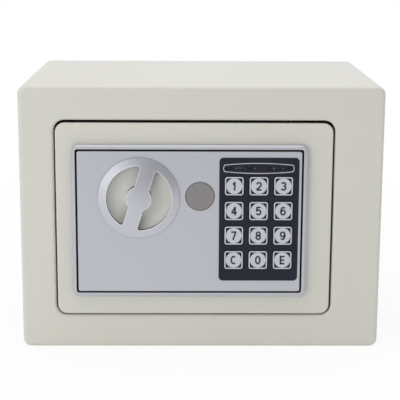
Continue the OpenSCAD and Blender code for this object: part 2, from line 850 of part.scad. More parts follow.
module buzzer() {
    color(jet) turned_y(keypad_x, keypad_z0 + pocket_margin + buzzer_d / 2 + 0.5, board_y)
        polygon([
            [0, 0], [buzzer_d / 2, 0], [buzzer_d / 2, buzzer_t],
            [0.6, buzzer_t], [0.6, buzzer_t / 2], [0, buzzer_t / 2]
        ]);
}

// One key: face, guide flange behind the face plate and a stem over its dome
module key_cap(column, row) {
    key_y = y_sheet - key_proud;
    color(navy) key_place(column, row) {
        slab(0, 0, key_flange_y - key_flange_t, key_flange_y - key_flange_t - key_y)
            rounded(key_size, key_size, key_r);
        slab(0, 0, key_flange_y, key_flange_t) rounded(key_flange_w, key_flange_w, key_r);
        bar_y(0, 0, stem_y, stem_y - key_flange_y + over / 2, stem_d);
    }
}

// Dome profile of the knob: everything under the crown
module dome_profile() {
    intersection() {
        translate([0, dome_mid]) circle(dome_r, $fn = dome_fn);
        square([knob_r, dome_top]);
    }
}

// Points of an arc about a centre, from angle a to angle b
function arc_points(centre, r, a, b, steps) = [
    for (i = [0 : steps]) let(t = a + (b - a) * i / steps) centre + r * [cos(t), sin(t)]
];

// One finger recess in the knob, on the +X side of an upright bar, with rounded ends
module finger_recess() {
    end_x = grip_w / 2 + recess_end_r;
    end_r = recess_r - recess_end_r;
    end_z = sqrt(end_r * end_r - end_x * end_x);
    touch = atan2(end_z, end_x);
    hub_turn = acos(grip_w / hub_d);
    polygon(concat(
        arc_points([0, 0], recess_r, -touch, touch, 32),
        arc_points([end_x, end_z], recess_end_r, touch + 15, 180, 8),
        arc_points([0, 0], hub_d / 2, hub_turn, -hub_turn, 16),
        arc_points([end_x, -end_z], recess_end_r, 180, 345 - touch, 8)
    ));
}

// Turns children to the lean of the grip bar about the knob axis
module knob_turned() {
    translate([knob_x, 0, knob_z]) rotate([0, grip_tilt, 0]) children();
}

module knob_grip() {
    rib_w = grip_w - 2 * over;
    rib_h = wall_foot + over;
    color(silver) knob_turned() {
        difference() {
            turned_y(0, 0, y_front) difference() {
                dome_profile();
                square([knob_r, wall_foot]);
                square([spindle_d / 2 + seat_gap, spindle_top]);
                translate([knob_neck_r, 0]) square([knob_lip + over, panel_proud + knob_gap]);
            }
            for (turn = [0, 180]) rotate([0, turn, 0])
                slab(0, 0, y_front, dome_top + over) finger_recess();
        }
        intersection() {
            translate([-rib_w / 2, y_front - rib_h, -recess_r]) cube([rib_w, rib_h, 2 * recess_r]);
            turned_y(0, 0, y_front) intersection() {
                translate([trough_mid_r, trough_h]) circle(trough_r - seat_gap, $fn = fine_fn);
                translate([hub_d / 2, 0]) square([recess_r - hub_d / 2, rib_h]);
            }
        }
    }
}

module knob_dish() {
    color(cream) knob_turned() turned_y(0, 0, y_front) difference() {
        translate([0, dish_foot]) square([knob_neck_r, wall_foot - seat_gap - dish_foot]);
        translate([trough_mid_r, trough_h]) circle(trough_r, $fn = fine_fn);
        square([spindle_d / 2 + seat_gap, wall_foot]);
    }
}

module knob_spindle() {
    color(steel) {
        bar_y(knob_x, knob_z, crank_y, crank_y - y_front + spindle_top - seat_gap, spindle_d);
        slab(knob_x, knob_z, crank_y + crank_t, crank_t) square(spindle_key, center = true);
        bar_y(knob_x, knob_z, crank_y + crank_t + 2 * clip_t, 2 * clip_t, spindle_key);
    }
}

module spindle_bush() {
    bore_r = spindle_d / 2 + run_fit;
    color(brass) turned_y(knob_x, knob_z, y_door_back + bush_flange_t) translate([bore_r, 0]) {
        square([bush_d / 2 - bore_r, bush_flange_t + door_t]);
        square([bush_d / 2 - bore_r + 2, bush_flange_t]);
    }
}

module crank() {
    hub = spindle_d + 2 * crank_hub_w;
    reach = [crank_pin_x - knob_x, crank_pin_z - knob_z];
    color(zinc) {
        slab(knob_x, knob_z, crank_y + crank_t, crank_t) difference() {
            union() {
                circle(d = hub);
                translate(reach) circle(d = crank_boss_d);
                rotate(atan2(reach[1], reach[0])) translate([0, -crank_arm_w / 2])
                    square([crank_r, crank_arm_w]);
            }
            square(spindle_key + 2 * seat_gap, center = true);
        }
        bar_y(crank_pin_x, crank_pin_z, crank_pin_end, crank_pin_end - crank_y, crank_pin_d);
    }
}

module spindle_clip() {
    color(steel) slab(knob_x, knob_z, crank_y + crank_t + clip_t, clip_t) difference() {
        circle(d = spindle_d + 4);
        circle(d = spindle_key + 2 * seat_gap);
        translate([0, -spindle_key / 4]) square([spindle_d, spindle_key / 2]);
    }
}

module locking_bolts() {
    chamfer = bolt_d / 8;
    bolt_l = carriage_x0 - bolt_tip_x;
    tenon_end = bolt_l + carriage_t - seat_gap;
    color(steel) for (z = bolt_z) translate([bolt_tip_x, bolt_y, z]) rotate([0, 90, 0])
        rotate_extrude() polygon([
            [0, 0], [bolt_d / 2 - chamfer, 0], [bolt_d / 2, chamfer], [bolt_d / 2, bolt_l],
            [tenon_d / 2, bolt_l], [tenon_d / 2, tenon_end], [0, tenon_end]
        ]);
}

// A slot of width w whose end centres are a and b, level or upright
module slot_outline(a, b, w) {
    for (p = [a, b]) translate(p) circle(d = w);
    size = [abs(b[0] - a[0]), abs(b[1] - a[1])];
    translate([min(a[0], b[0]) - (size[0] > 0 ? 0 : w / 2), min(a[1], b[1]) - (size[1] > 0 ? 0 : w / 2)])
        square([size[0] > 0 ? size[0] : w, size[1] > 0 ? size[1] : w]);
}

module bolt_carriage() {
    plate_x0 = carriage_x0 + carriage_t;
    plate_z0 = min(bolt_z[0] - bolt_d, tongue_z1 - tongue_h);
    plate_z1 = bolt_z[1] + bolt_d;
    crank_slot_w = crank_pin_d + 2 * crank_slot_gap;
    stud_slot_w = stud_d + 4 * run_fit;
    color(zinc) {
        difference() {
            translate([carriage_x0, bolt_y - bolt_d / 2, plate_z0])
                cube([carriage_t, bolt_d, plate_z1 - plate_z0]);
            for (z = bolt_z)
                bar_x(carriage_x0 - over, bolt_y, z, carriage_t + 2 * over, tenon_d + 2 * seat_gap);
        }
        slab(0, 0, carriage_y + carriage_t, carriage_t) difference() {
            union() {
                translate([plate_x0, plate_z0]) square([carriage_x1 - plate_x0, plate_z1 - plate_z0]);
                translate([plate_x0, tongue_z1 - tongue_h]) square([tongue_x1 - plate_x0, tongue_h]);
            }
            slot_outline(
                [crank_pin_x, crank_pin_z - crank_slot_gap],
                [crank_pin_x, knob_z + crank_r + crank_slot_gap], crank_slot_w);
            for (z = stud_rows)
                slot_outline([stud_x - move_gap, z], [stud_x + throw + move_gap, z], stud_slot_w);
            translate([knob_x, bolt_mid_z - bolt_d]) circle(d = bolt_d);
        }
    }
}

module bolt_guide() {
    guide_z0 = bolt_z[0] - guide_side;
    guide_z1 = bolt_z[1] + guide_side;
    color(zinc) {
        difference() {
            translate([guide_x0, y_door_back, guide_z0])
                cube([guide_t, bolt_back + guide_side, guide_z1 - guide_z0]);
            for (z = bolt_z) bar_x(guide_x0 - over, bolt_y, z, guide_t + 2 * over, bolt_d + 2 * run_fit);
        }
        translate([guide_x0 + guide_t, y_door_back, bolt_mid_z - guide_foot / 2])
            cube([guide_foot / 3, frame_t, guide_foot]);
    }
}

module guide_studs() {
    head_y = carriage_y + carriage_t + move_gap + stud_head_t;
    color(steel) for (z = stud_rows) {
        bar_y(stud_x, z, head_y, head_y - y_door_back, stud_d);
        bar_y(stud_x, z, head_y, stud_head_t, stud_head_d);
        bar_y(stud_x, z, carriage_y - move_gap, carriage_y - move_gap - y_door_back, stud_head_d);
    }
}

module solenoid_frame() {
    depth = bolt_y - y_door_back + coil_d / 2 - 2;
    color(zinc) difference() {
        union() {
            for (z = [coil_z0 - frame_t, coil_z1])
                translate([lock_x - solenoid_w / 2, y_door_back, z]) cube([solenoid_w, depth, frame_t]);
            translate([lock_x - solenoid_w / 2, bolt_y - coil_d / 2 - frame_t - seat_gap, coil_z0])
                cube([solenoid_w, frame_t, coil_l]);
            for (z = [coil_z0 - frame_t - solenoid_foot, coil_z1 + frame_t])
                translate([lock_x - solenoid_w / 2, y_door_back, z])
                    cube([solenoid_w, frame_t, solenoid_foot]);
        }
        translate([lock_x, bolt_y, coil_z0 - frame_t - over])
            cylinder(d = plunger_d + 2 * move_gap, h = coil_l + 2 * (frame_t + over));
    }
}

module solenoid_coil() {
    color("firebrick") translate([lock_x, bolt_y, coil_z0]) rotate_extrude() {
        translate([plunger_d / 2 + run_fit, 0]) {
            square([coil_d / 2 - plunger_d / 2 - run_fit, over]);
            square([coil_d / 2 - plunger_d / 2 - run_fit - over, coil_l]);
            translate([0, coil_l - over]) square([coil_d / 2 - plunger_d / 2 - run_fit, over]);
        }
    }
}

module plunger() {
    color(steel) {
        translate([lock_x, bolt_y, plunger_z0]) cylinder(d = plunger_d, h = link_z0 - plunger_z0);
        translate([lock_x, bolt_y, link_z0 - over]) cylinder(d = carriage_t / 2, h = 2 * over);
        translate([lock_x, bolt_y, spring_z0 - collar_t]) cylinder(d = collar_d, h = collar_t);
        slab(lock_x, 0, bolt_y + carriage_t / 2, carriage_t) difference() {
            translate([-link_w / 2, link_z0]) square([link_w, link_z1 - link_z0]);
            slot_w = lift_pin_d + 2 * move_gap;
            x0 = -lift_r - lift_pin_d / 2 - move_gap;
            x1 = -lift_r / sqrt(2) + lift_pin_d / 2 + move_gap;
            translate([x0, link_pin_z - lift_pin_d / 2 - move_gap - lift_h])
                square([x1 - x0, slot_w + lift_h]);
        }
    }
}

// Points of one ring of the spring wire, k rings along the coil
function ring(k) = [
    for (s = [0 : wire_sides - 1])
        let(a = 360 * k / turn_rings, b = 360 * s / wire_sides, r = spring_r + spring_wire / 2 * cos(b))
        [r * cos(a), r * sin(a), spring_wire / 2 * sin(b) + spring_rise * k / spring_rings]
];

module plunger_spring() {
    points = [for (k = [0 : spring_rings]) each ring(k)];
    sides = [
        for (k = [0 : spring_rings - 1], s = [0 : wire_sides - 1])
            let(a = k * wire_sides + s, b = k * wire_sides + (s + 1) % wire_sides)
            each [[a, a + wire_sides, b], [b, a + wire_sides, b + wire_sides]]
    ];
    end0 = spring_rings * wire_sides;
    caps = [for (s = [1 : wire_sides - 2]) each [[0, s, s + 1], [end0, end0 + s + 1, end0 + s]]];
    color(steel) translate([lock_x, bolt_y, spring_z0 + spring_wire / 2])
        polyhedron(points, concat(sides, caps));
}

module key_cover() {
    skirt_d = plug_d - 2 * move_gap;
    skirt_l = panel_proud - flange_t - 1.5;
    color(plug_grey) turned_y(lock_x, lock_z, y_panel) {
        square([plug_d / 2, plug_proud - plug_edge]);
        polygon([
            [0, plug_proud - plug_edge], [plug_d / 2, plug_proud - plug_edge],
            [plug_d / 2 - plug_edge, plug_proud], [0, plug_proud]
        ]);
        translate([0, -plug_lip_t]) square([plug_d / 2, plug_lip_t]);
        translate([skirt_d / 2 - plug_skirt_t, -skirt_l]) square([plug_skirt_t, skirt_l]);
    }
}

module lock_housing() {
    barrel_l = cam_y - cam_t - move_gap - y_front;
    color(steel) turned_y(lock_x, lock_z, y_front + barrel_l) translate([core_d / 2 + run_fit, 0]) {
        square([barrel_d / 2 - core_d / 2 - run_fit, barrel_l]);
        translate([0, barrel_l]) square([flange_d / 2 - core_d / 2 - run_fit, flange_t]);
    }
}

module lock_core() {
    core_l = cam_y - y_front + flange_t;
    color(brass) difference() {
        bar_y(lock_x, lock_z, cam_y - cam_t, core_l - cam_t, core_d);
        slab(lock_x, lock_z, y_front + core_l / 2, core_l) square([1.8, core_d * 0.7], center = true);
    }
    color(brass) slab(lock_x, lock_z, cam_y, cam_t) square(core_d / 2, center = true);
}

module lock_nut() {
    color(steel) slab(lock_x, lock_z, y_door_back + nut_t, nut_t) difference() {
        circle(d = (barrel_d + 5) / cos(30), $fn = 6);
        circle(d = barrel_d + 2 * seat_gap);
    }
}

module lift_cam() {
    color(zinc) {
        slab(lock_x, lock_z, cam_y, cam_t) difference() {
            circle(d = cam_d);
            square(core_d / 2 + 2 * seat_gap, center = true);
        }
        bar_y(link_pin_x, link_pin_z, lift_pin_end, lift_pin_end - cam_y, lift_pin_d);
    }
}

module battery_box() {
    color(jet) difference() {
        slab(bay_x, bay_z, y_cover_in, bay_d + bay_wall)
            square([bay_l + 2 * bay_wall, bay_h + 2 * bay_wall], center = true);
        slab(bay_x, bay_z, y_cover_in + over, bay_d + over) square([bay_l, bay_h], center = true);
    }
}

// Places children at each cell, the odd ones turned end for end
module cell_places() {
    for (i = [0 : cells - 1])
        translate([bay_x, cell_y, bay_z0 + cell_gap + cell_d / 2 + i * (cell_d + cell_gap)])
            rotate([0, 0, 180 * (i % 2)]) children();
}

module battery_cells() {
    color("dimgray") cell_places() {
        bar_x(-cell_l / 2, 0, 0, cell_l - nub_l, cell_d);
        bar_x(cell_l / 2 - nub_l, 0, 0, nub_l, cell_d * 0.36);
    }
}

module battery_contacts() {
    leaf = cell_d * 0.7;
    color(steel) cell_places() {
        translate([cell_l / 2 + contact_room - leaf_t, -leaf / 2, -leaf / 2]) cube([leaf_t, leaf, leaf]);
        bar_x(cell_l / 2, 0, 0, contact_room - leaf_t, leaf / 2);
        translate([-cell_l / 2 - contact_room, -leaf / 2, -leaf / 2]) cube([leaf_t, leaf, leaf]);
        translate([leaf_t - cell_l / 2 - contact_room, 0, 0]) rotate([0, 90, 0])
            cylinder(d1 = leaf, d2 = leaf / 2, h = contact_room - leaf_t);
    }
}

module battery_cover() {
    lid_w = bay_l - 2 * move_gap;
    lid_h = bay_h - 2 * move_gap;
    color(jet) difference() {
        slab(bay_x, bay_z, y_cover + lid_proud, lid_t) square([lid_w, lid_h], center = true);
        bar_y(bay_x, bay_z0 + bay_h - 7, y_cover + lid_proud + over, over + lid_t / 2, 9);
    }
}

module reset_switch() {
    color(jet) difference() {
        slab(reset_x, reset_z, y_cover_in, switch_d) square(switch_w, center = true);
        bar_y(reset_x, reset_z, y_cover_in + over, switch_d, reset_d + 2 * run_fit);
    }
}

module reset_button() {
    button_l = reset_proud + cover_t + reset_hold;
    color("red") bar_y(reset_x, reset_z, y_cover + reset_proud, button_l, reset_d);
}

front_frame();
body_wrap();
back_panel();
floor_mat();
hinge_pins();
door_plate();
hinge_tabs();
lock_cover();
cover_posts();
cover_screws();
panel_frame();
panel_base();
face_plate();
panel_screws();
keypad_sheet();
indicator_lens();
led_yellow();
led_red();
led_green();
keypad_board();
key_domes();
buzzer();
knob_grip();
knob_dish();
knob_spindle();
spindle_bush();
crank();
spindle_clip();
locking_bolts();
bolt_carriage();
bolt_guide();
guide_studs();
solenoid_frame();
solenoid_coil();
plunger();
plunger_spring();
key_cover();
lock_housing();
lock_core();
lock_nut();
lift_cam();
battery_box();
battery_cells();
battery_contacts();
battery_cover();
reset_switch();
reset_button();
for (k = KEYS)
    key_cap(k[1], k[2]);
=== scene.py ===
import math

import bmesh
import bpy
import numpy as np
from mathutils import Matrix, Vector


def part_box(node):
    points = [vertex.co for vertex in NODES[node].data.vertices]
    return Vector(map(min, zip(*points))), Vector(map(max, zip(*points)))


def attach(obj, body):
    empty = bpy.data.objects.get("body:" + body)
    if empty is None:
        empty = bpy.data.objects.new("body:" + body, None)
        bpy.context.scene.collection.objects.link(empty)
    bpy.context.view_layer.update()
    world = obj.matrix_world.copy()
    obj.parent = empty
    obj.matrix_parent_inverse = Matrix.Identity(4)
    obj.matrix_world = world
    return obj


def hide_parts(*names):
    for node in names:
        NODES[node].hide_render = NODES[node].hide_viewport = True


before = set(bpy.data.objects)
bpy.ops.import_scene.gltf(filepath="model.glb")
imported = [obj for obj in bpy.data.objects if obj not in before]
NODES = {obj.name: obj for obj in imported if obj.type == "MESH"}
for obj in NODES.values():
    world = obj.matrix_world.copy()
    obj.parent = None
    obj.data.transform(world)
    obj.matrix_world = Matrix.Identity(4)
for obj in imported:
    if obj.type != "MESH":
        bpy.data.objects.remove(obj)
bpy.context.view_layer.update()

bl_info = {
    "name": "In-room safe finishes",
    "version": (1, 0, 0),
    "blender": (4, 5, 0),
    "location": "3D View > Sidebar > Safe",
    "description": "Paints, prints, lining and studio stage for a small in-room safe",
    "category": "Object",
}

MM = 0.001
MERGE = 1e-7  # points closer than this are one point

# Key prints
KEYS = "123456789c0e"
KEY_FLANGE = 0.7 * MM  # lip of a key behind the film, beyond its face
KEY_CORNER = 1.7 * MM  # radius of a key's corners
DISC_RISE = 1.5  # height of a key's disc, in heights of its frame line

# Indicator
LAMPS = ("led_yellow", "led_red", "led_green")
LENS_BAND = 1.6 * MM  # height of the clear band
LENS_BLUR = 0.32 * MM  # over which the band turns to the mask, on either side
LENS_CLEAR = 0.76  # how far the band hides what lies behind it
LENS_MASKED = 0.98  # the same for the mask
EYE_END = 4.7 * MM  # height of the eye's bows where its round ends begin
EYE_LEFT = 0.4 * MM  # from the lens's middle to the eye's, leftwards
MARK_LENGTH = 1.0 * MM  # length of the mark on a lamp's left
MARK_SHORT = 0.7 * MM  # length of the mark on its right
MARK_PLACE = 2.8 * MM  # from a lamp's middle to its marks
MARK_OUTLINE = np.array([[-0.5, 0], [0.5, -0.75], [0.25, 0], [0.5, 0.75]])  # arrowhead of unit length

# Knob
DOME_RISE = 4.6 * MM  # height of the dome over its edge
SHADE_DEPTH = 0.5 * MM  # depth under the dome at which the painted shade of the recess walls begins, and the width over which it turns full
POLE_RADIUS = 1.6 * MM  # middle of the dome that has the sphere's own normal
RIM_CLEAR = 1.0 * MM  # edge of the dome that gets no painted highlight
HIGHLIGHT_RADIUS = 0.9 * MM  # reach of the painted highlight from an edge
KNOB_SHEEN = 0.58  # metallic share of the knob's paint

# Felt mat
ANCHOR_PITCH = 110 * MM  # between the middles of the two holes
ANCHOR_R = 4.5 * MM  # radius of a hole
FELT_EDGE = 1.2 * MM  # width of the soft edge
FELT_SINK = 0.9 * MM  # fall of the soft edge
FELT_EASE = 0.2  # share by which the fall and the waves ease off at the edge
FELT_WAVE = 0.05 * MM  # height of each of the two waves
FELT_SPARE = 0.12 * MM  # room left for the waves under the mat's top

# Stage, with its lengths in metres
FLOOR_R = 1.6
FLOOR_GLOW = 0.88  # share of plain white in the floor round the safe
SHADOW_R = 0.3  # reach of the shadow; the floor turns plain white over as much again
ROOM_GLOW = 0.15  # brightness of the room in reflections
ROOM_FADE = (-0.5, 0.4)  # directions, from in front to behind, between which the room turns to the backdrop
SENSOR_WIDTH = 36.0  # in millimetres
SOFTBOXES = {  # place, point looked at, and side
    "key": ((-0.65, -1.15, 0.4), (-0.5, -0.9, 0.0), 0.8),
    "side": ((-0.9, -0.9, 0.12), (0.0, -0.02, 0.09), 0.6),
    "top": ((-0.1, 0.05, 1.2), (-0.1, 0.05, 0.0), 1.2),
}


def display(red, green, blue):
    """Linear colour of a display colour given in steps of 255: the standard display curve, undone."""
    value = np.array([red, green, blue]) / 255
    return tuple(np.where(value <= 0.04045, value / 12.92, ((value + 0.055) / 1.055) ** 2.4))


def colour_property(name, description, red, green, blue):
    """A colour that the user can change, with its default as a display colour."""
    return bpy.props.FloatVectorProperty(
        name=name, description=description, subtype="COLOR", size=3, min=0, max=1,
        default=display(red, green, blue))


def length_property(name, description, millimetres):
    """A length that the user can change, in metres, with its default in millimetres."""
    return bpy.props.FloatProperty(
        name=name, description=description, subtype="DISTANCE", unit="LENGTH", min=0,
        precision=5, default=millimetres * MM)


def power_property(name, description, watts):
    """A lamp's power that the user can change."""
    return bpy.props.FloatProperty(
        name=name, description=description, subtype="POWER", unit="POWER", min=0, default=watts)


class SafeColours(bpy.types.PropertyGroup):
    """Colours of the safe's finishes."""
    shell: colour_property("Shell", "Powder coat of cabinet and door", 204, 203, 194)
    silver: colour_property("Silver", "Satin paint of panel and knob", 192, 194, 201)
    # Painted highlight: lighter colour on the rims of the knob's finger recesses
    highlighted: colour_property("Highlight silver", "Painted highlight on the rims of the knob's finger recesses", 238, 239, 243)
    # Painted shade: dark colour on the walls of the finger recesses, where shade falls
    recess_shade: colour_property("Recess shade", "Painted shade on the walls of the finger recesses", 62, 62, 66)
    dish: colour_property("Dish", "Bowl behind the finger recesses", 206, 206, 200)
    black: colour_property("Black", "Black mouldings", 16, 16, 18)
    plug: colour_property("Plug", "Plug over the keyhole", 127, 125, 124)
    film: colour_property("Film", "Keypad film", 36, 39, 50)
    ink: colour_property("Ink", "Light print on the keypad", 190, 192, 199)
    mark: colour_property("Mark", "Faint light marks beside the lamps", 118, 118, 120)
    lens: colour_property("Lens", "Smoked indicator lens", 38, 40, 49)
    led_yellow: colour_property("Yellow lamp", "Left indicator lamp", 190, 184, 92)
    led_red: colour_property("Red lamp", "Middle indicator lamp", 168, 62, 66)
    led_green: colour_property("Green lamp", "Right indicator lamp", 84, 118, 84)
    board: colour_property("Board", "Circuit board of the keypad", 34, 92, 58)
    zinc: colour_property("Zinc", "Zinc plate on the bolt work", 206, 206, 198)
    pin: colour_property("Pin steel", "Hinge pins", 70, 69, 66)
    steel: colour_property("Steel", "Bolts, screws and springs", 200, 201, 203)
    brass: colour_property("Brass", "Bush and lock core", 208, 178, 112)
    coil: colour_property("Coil", "Wrap of the solenoid's coil", 150, 74, 48)
    cell: colour_property("Cell", "Sleeves of the battery cells", 70, 74, 80)
    button: colour_property("Button", "Reset button", 190, 40, 36)
    felt: colour_property("Felt", "Floor felt", 58, 58, 62)
    floor: colour_property("Floor", "Studio floor", 248, 248, 248)


class SafePrints(bpy.types.PropertyGroup):
    """Sizes of the prints on the keypad."""
    frame_inset: length_property("Frame inset", "Edge of a key to the middle of its frame line", 0.55)
    frame_line: length_property("Frame line", "Width of the line round a key", 0.8)
    disc_diameter: length_property("Disc", "Diameter of the disc on a key", 10.0)
    digit_height: length_property("Digit height", "Height of the digits", 5.7)
    digit_width: length_property("Digit width", "Width of the digits", 3.7)
    digit_weight: length_property("Digit weight", "Width of a digit's strokes", 1.05)
    eye_width: length_property("Eye width", "Width of the line round the indicator, to its middle", 44.3)
    eye_height: length_property("Eye height", "Height of the line round the indicator, to its middle", 6.4)
    eye_line: length_property("Eye line", "Width of the line round the indicator", 0.45)
    ink_height: length_property("Ink height", "Height of the print over the film", 0.04)


class SafeStage(bpy.types.PropertyGroup):
    """Camera and lights."""
    camera_place: bpy.props.FloatVectorProperty(
        name="Camera place", description="Place of the camera", subtype="TRANSLATION", unit="LENGTH",
        default=(-0.0116, -0.8293, 0.2622))
    camera_turn: bpy.props.FloatVectorProperty(
        name="Camera turn", description="Yaw, pitch and roll of the view", subtype="EULER", unit="ROTATION",
        default=tuple(math.radians(a) for a in (-0.817, -12.302, -0.301)))
    lens: bpy.props.FloatProperty(
        name="Lens", description="Focal length of the camera", subtype="DISTANCE_CAMERA", unit="CAMERA",
        default=109.554)
    key_power: power_property("Key light", "Softbox in front, tipped to the floor", 3.8)
    side_power: power_property("Side light", "Low softbox at the left", 1.65)
    top_power: power_property("Top light", "Softbox over the safe", 6.2)
    sky: bpy.props.FloatProperty(
        name="Sky", description="Strength of the even light from all round", min=0, default=0.655)


def supply(tree, socket, value):
    """Links a socket to another node's output, or writes a plain value to it."""
    if isinstance(value, bpy.types.NodeSocket):
        tree.links.new(value, socket)
    else:
        socket.default_value = value


def place(tree, kind, **inputs):
    """A new shader node with its inputs given by name."""
    node = tree.nodes.new("ShaderNode" + kind)
    for name, value in inputs.items():
        supply(tree, node.inputs[name.replace("_", " ")], value)
    return node


def operate(tree, kind, operation, *values):
    """A Math or Vector Math node with its values given in order, as its outputs."""
    node = tree.nodes.new("ShaderNode" + kind)
    node.operation = operation
    for socket, value in zip(node.inputs, values):
        supply(tree, socket, value)
    return node.outputs


def arithmetic(tree, operation, first, second):
    """One Math node's result."""
    return operate(tree, "Math", operation, first, second)[0]


def spread(tree, value, low=0.0, high=1.0, start=0.0, end=1.0):
    """A value taken from the range low to high over to the range start to end, and held at those ends."""
    node = place(tree, "MapRange", Value=value, From_Min=low, From_Max=high, To_Min=start, To_Max=end)
    return node.outputs["Result"]


def new_group(name, inputs, outputs):
    """An empty shader group with named sockets, and the nodes that stand for its two ends."""
    group = bpy.data.node_groups.new(name, "ShaderNodeTree")
    for socket, kind in inputs:
        group.interface.new_socket(socket, in_out="INPUT", socket_type="NodeSocket" + kind)
    for socket, kind in outputs:
        group.interface.new_socket(socket, in_out="OUTPUT", socket_type="NodeSocket" + kind)
    return group, group.nodes.new("NodeGroupInput").outputs, group.nodes.new("NodeGroupOutput").inputs


def tone_group():
    """Broad patches in a finish: soft noise darkens the colour by up to Shade and gives its own mask."""
    group, given, out = new_group(
        "Finish tone", [("Vector", "Vector"), ("Color", "Color"), ("Scale", "Float"), ("Shade", "Float")],
        [("Color", "Color"), ("Mask", "Float")])
    noise = place(group, "TexNoise", Vector=given["Vector"], Scale=given["Scale"], Detail=4.0)
    mask = spread(group, noise.outputs[0], 0.3, 0.7)
    light = arithmetic(group, "SUBTRACT", 1.0, arithmetic(group, "MULTIPLY", mask, given["Shade"]))
    shaded = place(group, "HueSaturation", Color=given["Color"], Value=light)
    group.links.new(shaded.outputs[0], out["Color"])
    group.links.new(mask, out["Mask"])
    return group


def grain_group():
    """Fine grain of a coat or a moulded skin: the mean of noise and rounded cells, as a height."""
    group, given, out = new_group(
        "Finish grain", [("Vector", "Vector"), ("Scale", "Float")], [("Height", "Float")])
    noise = place(group, "TexNoise", Vector=given["Vector"], Scale=given["Scale"], Detail=3.0)
    cells = place(group, "TexVoronoi", Vector=given["Vector"], Scale=given["Scale"])
    cells.feature = "SMOOTH_F1"
    both = arithmetic(group, "ADD", noise.outputs[0], cells.outputs["Distance"])
    group.links.new(arithmetic(group, "MULTIPLY", both, 0.5), out["Height"])
    return group


def flake_group():
    """Metal flakes in a silver coat: each tiny cell has its own lightness, as a colour and a mask."""
    group, given, out = new_group(
        "Silver flake", [("Vector", "Vector"), ("Color", "Color"), ("Scale", "Float"), ("Sparkle", "Float")],
        [("Color", "Color"), ("Mask", "Float")])
    cells = place(group, "TexVoronoi", Vector=given["Vector"], Scale=given["Scale"])
    mask = place(group, "RGBToBW", Color=cells.outputs["Color"]).outputs[0]
    change = arithmetic(group, "MULTIPLY", arithmetic(group, "SUBTRACT", mask, 0.5), given["Sparkle"])
    light = arithmetic(group, "ADD", 1.0, change)
    shaded = place(group, "HueSaturation", Color=given["Color"], Value=light)
    group.links.new(shaded.outputs[0], out["Color"])
    group.links.new(mask, out["Mask"])
    return group


def drawn_group():
    """Drawn or rolled metal: noise scaled by Along on each axis, as a height and a mask."""
    group, given, out = new_group(
        "Drawn metal", [("Vector", "Vector"), ("Along", "Vector"), ("Scale", "Float")],
        [("Height", "Float"), ("Mask", "Float")])
    stretched = place(group, "Mapping", Vector=given["Vector"], Scale=given["Along"])
    noise = place(group, "TexNoise", Vector=stretched.outputs[0], Scale=given["Scale"], Detail=6.0)
    group.links.new(noise.outputs[0], out["Height"])
    group.links.new(spread(group, noise.outputs[0], 0.35, 0.65), out["Mask"])
    return group


def edge_highlight_group():
    """Mask of a painted highlight at edges: how far the normal rounded within Radius turns from the surface's
    own.
    """
    group, given, out = new_group("Edge wear", [("Radius", "Float")], [("Mask", "Float")])
    soft = place(group, "Bevel", Radius=given["Radius"])
    soft.samples = 8
    own = place(group, "NewGeometry").outputs["Normal"]
    likeness = operate(group, "VectorMath", "DOT_PRODUCT", soft.outputs[0], own)["Value"]
    unhighlighted, highlighted = 0.985, 0.9  # likeness at which the painted highlight starts, and is full
    group.links.new(spread(group, likeness, unhighlighted, highlighted), out["Mask"])
    return group


GROUP_MAKERS = {
    "tone": tone_group, "grain": grain_group, "flake": flake_group, "drawn": drawn_group, "edge_highlight": edge_highlight_group}
GROUPS = {}


def shared(tree, kind, **inputs):
    """Places a shared effect in a material; the effect is built at its first use."""
    if kind not in GROUPS:
        GROUPS[kind] = GROUP_MAKERS[kind]()
    node = tree.nodes.new("ShaderNodeGroup")
    node.node_tree = GROUPS[kind]
    for name, value in inputs.items():
        supply(tree, node.inputs[name], value)
    return node.outputs


def opaque(colour):
    """A colour with full alpha."""
    return (*colour, 1.0)


class Finish:
    """A material under way: its tree, its shader and its Object coordinates."""

    def __init__(self, name, **constants):
        self.material = bpy.data.materials.new(name)
        self.material.use_nodes = True
        self.tree = self.material.node_tree
        self.shader = self.tree.nodes["Principled BSDF"]
        self.where = place(self.tree, "TexCoord").outputs["Object"]
        for socket, value in constants.items():
            self.shader.inputs[socket.replace("_", " ")].default_value = value

    def effect(self, kind, **inputs):
        """A shared effect over the material's Object coordinates."""
        return shared(self.tree, kind, Vector=self.where, **inputs)

    def feed(self, socket, source):
        """Links a varying value to the shader."""
        self.tree.links.new(source, self.shader.inputs[socket])

    def fed(self, socket):
        """The output that is linked to the shader."""
        return self.shader.inputs[socket].links[0].from_socket

    def rough(self, mask, low, high):
        """Roughness from low to high over a mask."""
        self.feed("Roughness", spread(self.tree, mask, start=low, end=high))

    def relief(self, height, depth, edge=0.0):
        """Bump of the given depth in metres, over normals rounded at edges by the given radius."""
        bump = place(self.tree, "Bump", Height=height, Distance=depth)
        if edge:
            soft = place(self.tree, "Bevel", Radius=edge)
            soft.samples = 6
            self.tree.links.new(soft.outputs[0], bump.inputs["Normal"])
        self.feed("Normal", bump.outputs[0])

    def offset_from(self, centre):
        """Object coordinates counted from a centre, and their distance from its front-to-back line."""
        offset = operate(self.tree, "VectorMath", "SUBTRACT", self.where, centre)["Vector"]
        across = operate(self.tree, "VectorMath", "MULTIPLY", offset, (1.0, 0.0, 1.0))["Vector"]
        return offset, operate(self.tree, "VectorMath", "LENGTH", across)["Value"]


def coat(name, colour, shade=0.03, patch=9.0, grain=1500.0, depth=0.03, roughness=(0.4, 0.5), edge=0.0,
         **constants):
    """A painted or moulded finish: broad tone, fine grain with its depth in millimetres, and a roughness that
    follows the tone."""
    finish = Finish(name, **constants)
    tone = finish.effect("tone", Color=opaque(colour), Scale=patch, Shade=shade)
    grains = finish.effect("grain", Scale=grain)
    finish.feed("Base Color", tone["Color"])
    finish.rough(tone["Mask"], *roughness)
    finish.relief(grains["Height"], depth * MM, edge)
    return finish


